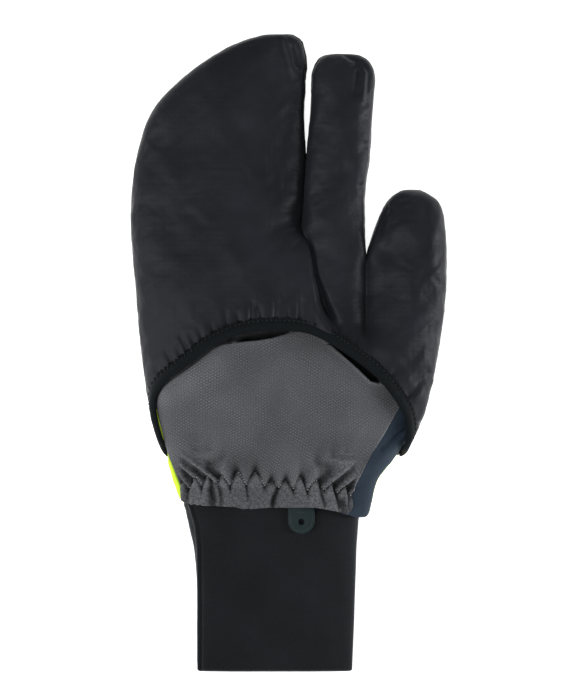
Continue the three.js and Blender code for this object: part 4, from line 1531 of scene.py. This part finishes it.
def makeTab():
    bm = bmesh.new()
    half = tab["width"] / 2
    turns = math.pi * (1 + np.arange(tab["roundSteps"] + 1) / tab["roundSteps"])
    rim = [(tab["x"] + half * math.cos(a), tab["roundY"] + half * math.sin(a)) for a in turns]
    rim = [(tab["x"] - half, tab["sewnY"]), *rim, (tab["x"] + half, tab["sewnY"])]
    outline = [bm.verts.new(onTab(x, y, 0)) for x, y in rim]
    for a, b in zip(outline, outline[1:] + outline[:1]):
        bm.edges.new((a, b))
    hole = bmesh.ops.create_circle(bm, segments=20, radius=tab["holeRadius"])["verts"]
    for vertex in hole:
        vertex.co = Vector(onTab(tab["x"] + vertex.co.x, tab["holeY"] + vertex.co.y, 0))
    bmesh.ops.triangle_fill(bm, use_beauty=True, edges=bm.edges[:])
    bmesh.ops.recalc_face_normals(bm, faces=bm.faces)
    if sum(f.normal.z for f in bm.faces) < 0:
        bmesh.ops.reverse_faces(bm, faces=bm.faces)
    lower = bmesh.ops.extrude_face_region(bm, geom=bm.faces[:])["geom"]
    lower = [g for g in lower if isinstance(g, bmesh.types.BMVert)]
    bmesh.ops.translate(bm, vec=(0, 0, -tab["thickness"]), verts=lower)
    bmesh.ops.recalc_face_normals(bm, faces=bm.faces)
    rims = [e for e in bm.edges if len(e.link_faces) == 2 and e.calc_face_angle() > 1]
    bmesh.ops.bevel(bm, geom=rims, offset=tab["bevel"], segments=3, profile=0.5, affect="EDGES", material=-1)
    mesh = toMesh(bm, "pull_tab_rubber")
    writePoints(mesh, allOf(mesh.vertices, "co"))
    return newPiece("pull_tab_rubber", mesh)


def tabStitches():
    radius = tab["width"] / 2 - tabThread["inset"]
    down = [tab["sewnY"] - tabThread["from"] - k * tabThread["pitch"] for k in range(tabThread["down"])]
    turns = [math.pi * (1 + (k + 0.5) / tabThread["round"]) for k in range(tabThread["round"])]
    path = [(-radius, y, 0, -1) for y in down]
    for turn in turns:
        c, s = math.cos(turn), math.sin(turn)
        path.append((radius * c, tab["roundY"] + radius * s, -s, c))
    path += [(radius, y, 0, 1) for y in reversed(down)]
    middle, rowY = (tabThread["row"] - 1) / 2, tab["sewnY"] - tabThread["rowFrom"]
    path += [((k - middle) * tabThread["rowPitch"], rowY, 0.35, 1) for k in range(tabThread["row"])]
    places = [(onTab(tab["x"] + x, y, 0.05), (dx, dy, 0), (0, 0, 1)) for x, y, dx, dy in path]
    return sew("pull_tab_stitches", places, size=tabStitch)


finishPiece(makeCuff(), knit, "cuff_knit", "wrist_cuff")
finishPiece(makeTab(), rubber, "tab_rubber", "pull_tab")
finishPiece(tabStitches(), tealThread, "tab_rubber")
bpy.data.objects.remove(coverBody)
print("cuff and tab made")


# Studio: a pale floor, two long soft boxes at the sides and one overhead
studio = {
    "cameraHeight": 2.012,
    "pictureAt": 0.012,  # the height at which the picture has its full size
    "middle": (-0.68, 2.2),  # of the picture, in the frame's millimetres
    "pictureHeight": 312.75,
    "air": 0.24,
    "white": (1, 1, 1, 1),
    "paper": (0.9, 0.9, 0.9, 1),
    "floorSize": 3,
    "floorDown": 0.5,
    "floorGlow": 0.88,
    "aim": (0, 0, 0.01),
}
# Name, place, width and length, power
softBoxes = [
    ("left soft box", (-1.1, -0.2, 1.0), (0.9, 1.4), 13),
    ("right soft box", (1.4, 0, 0.09), (0.14, 1.6), 24),
    ("top soft box", (-0.35, -0.45, 1.9), (1.2, 1.2), 9.5),
]


def makeStudio():
    scene = bpy.context.scene
    scene.view_settings.view_transform = "Standard"
    scene.world = bpy.data.worlds.new("studio air")
    scene.world.use_nodes = True
    feed(scene.world.node_tree.nodes["Background"], {"Color": studio["white"], "Strength": studio["air"]})
    bm = bmesh.new()
    bmesh.ops.create_grid(bm, x_segments=2, y_segments=2, size=studio["floorSize"])
    floor = newPiece("floor", toMesh(bm, "floor"))
    floor.location.z = -studio["floorDown"] * mm
    material, shader = newMaterial("pale paper", 0.9)
    feed(shader, {"Base Color": studio["paper"], "Emission Color": studio["white"]})
    feed(shader, {"Emission Strength": studio["floorGlow"]})
    floor.data.materials.append(material)
    for name, place, size, power in softBoxes:
        light = bpy.data.lights.new(name, "AREA")
        light.shape = "RECTANGLE"
        light.size, light.size_y = size
        light.energy = power
        lamp = bpy.data.objects.new(name, light)
        scene.collection.objects.link(lamp)
        lamp.location = place
        lamp.rotation_euler = (Vector(studio["aim"]) - lamp.location).to_track_quat("-Z", "Y").to_euler()
    camera = bpy.data.cameras.new("camera")
    camera.sensor_width = 36
    distance = studio["cameraHeight"] - studio["pictureAt"]
    camera.lens = camera.sensor_width * distance / (studio["pictureHeight"] * mm)
    camera.clip_end = 10
    eye = bpy.data.objects.new("camera", camera)
    scene.collection.objects.link(eye)
    eye.location = (studio["middle"][0] * mm, studio["middle"][1] * mm, studio["cameraHeight"])
    scene.camera = eye


makeStudio()
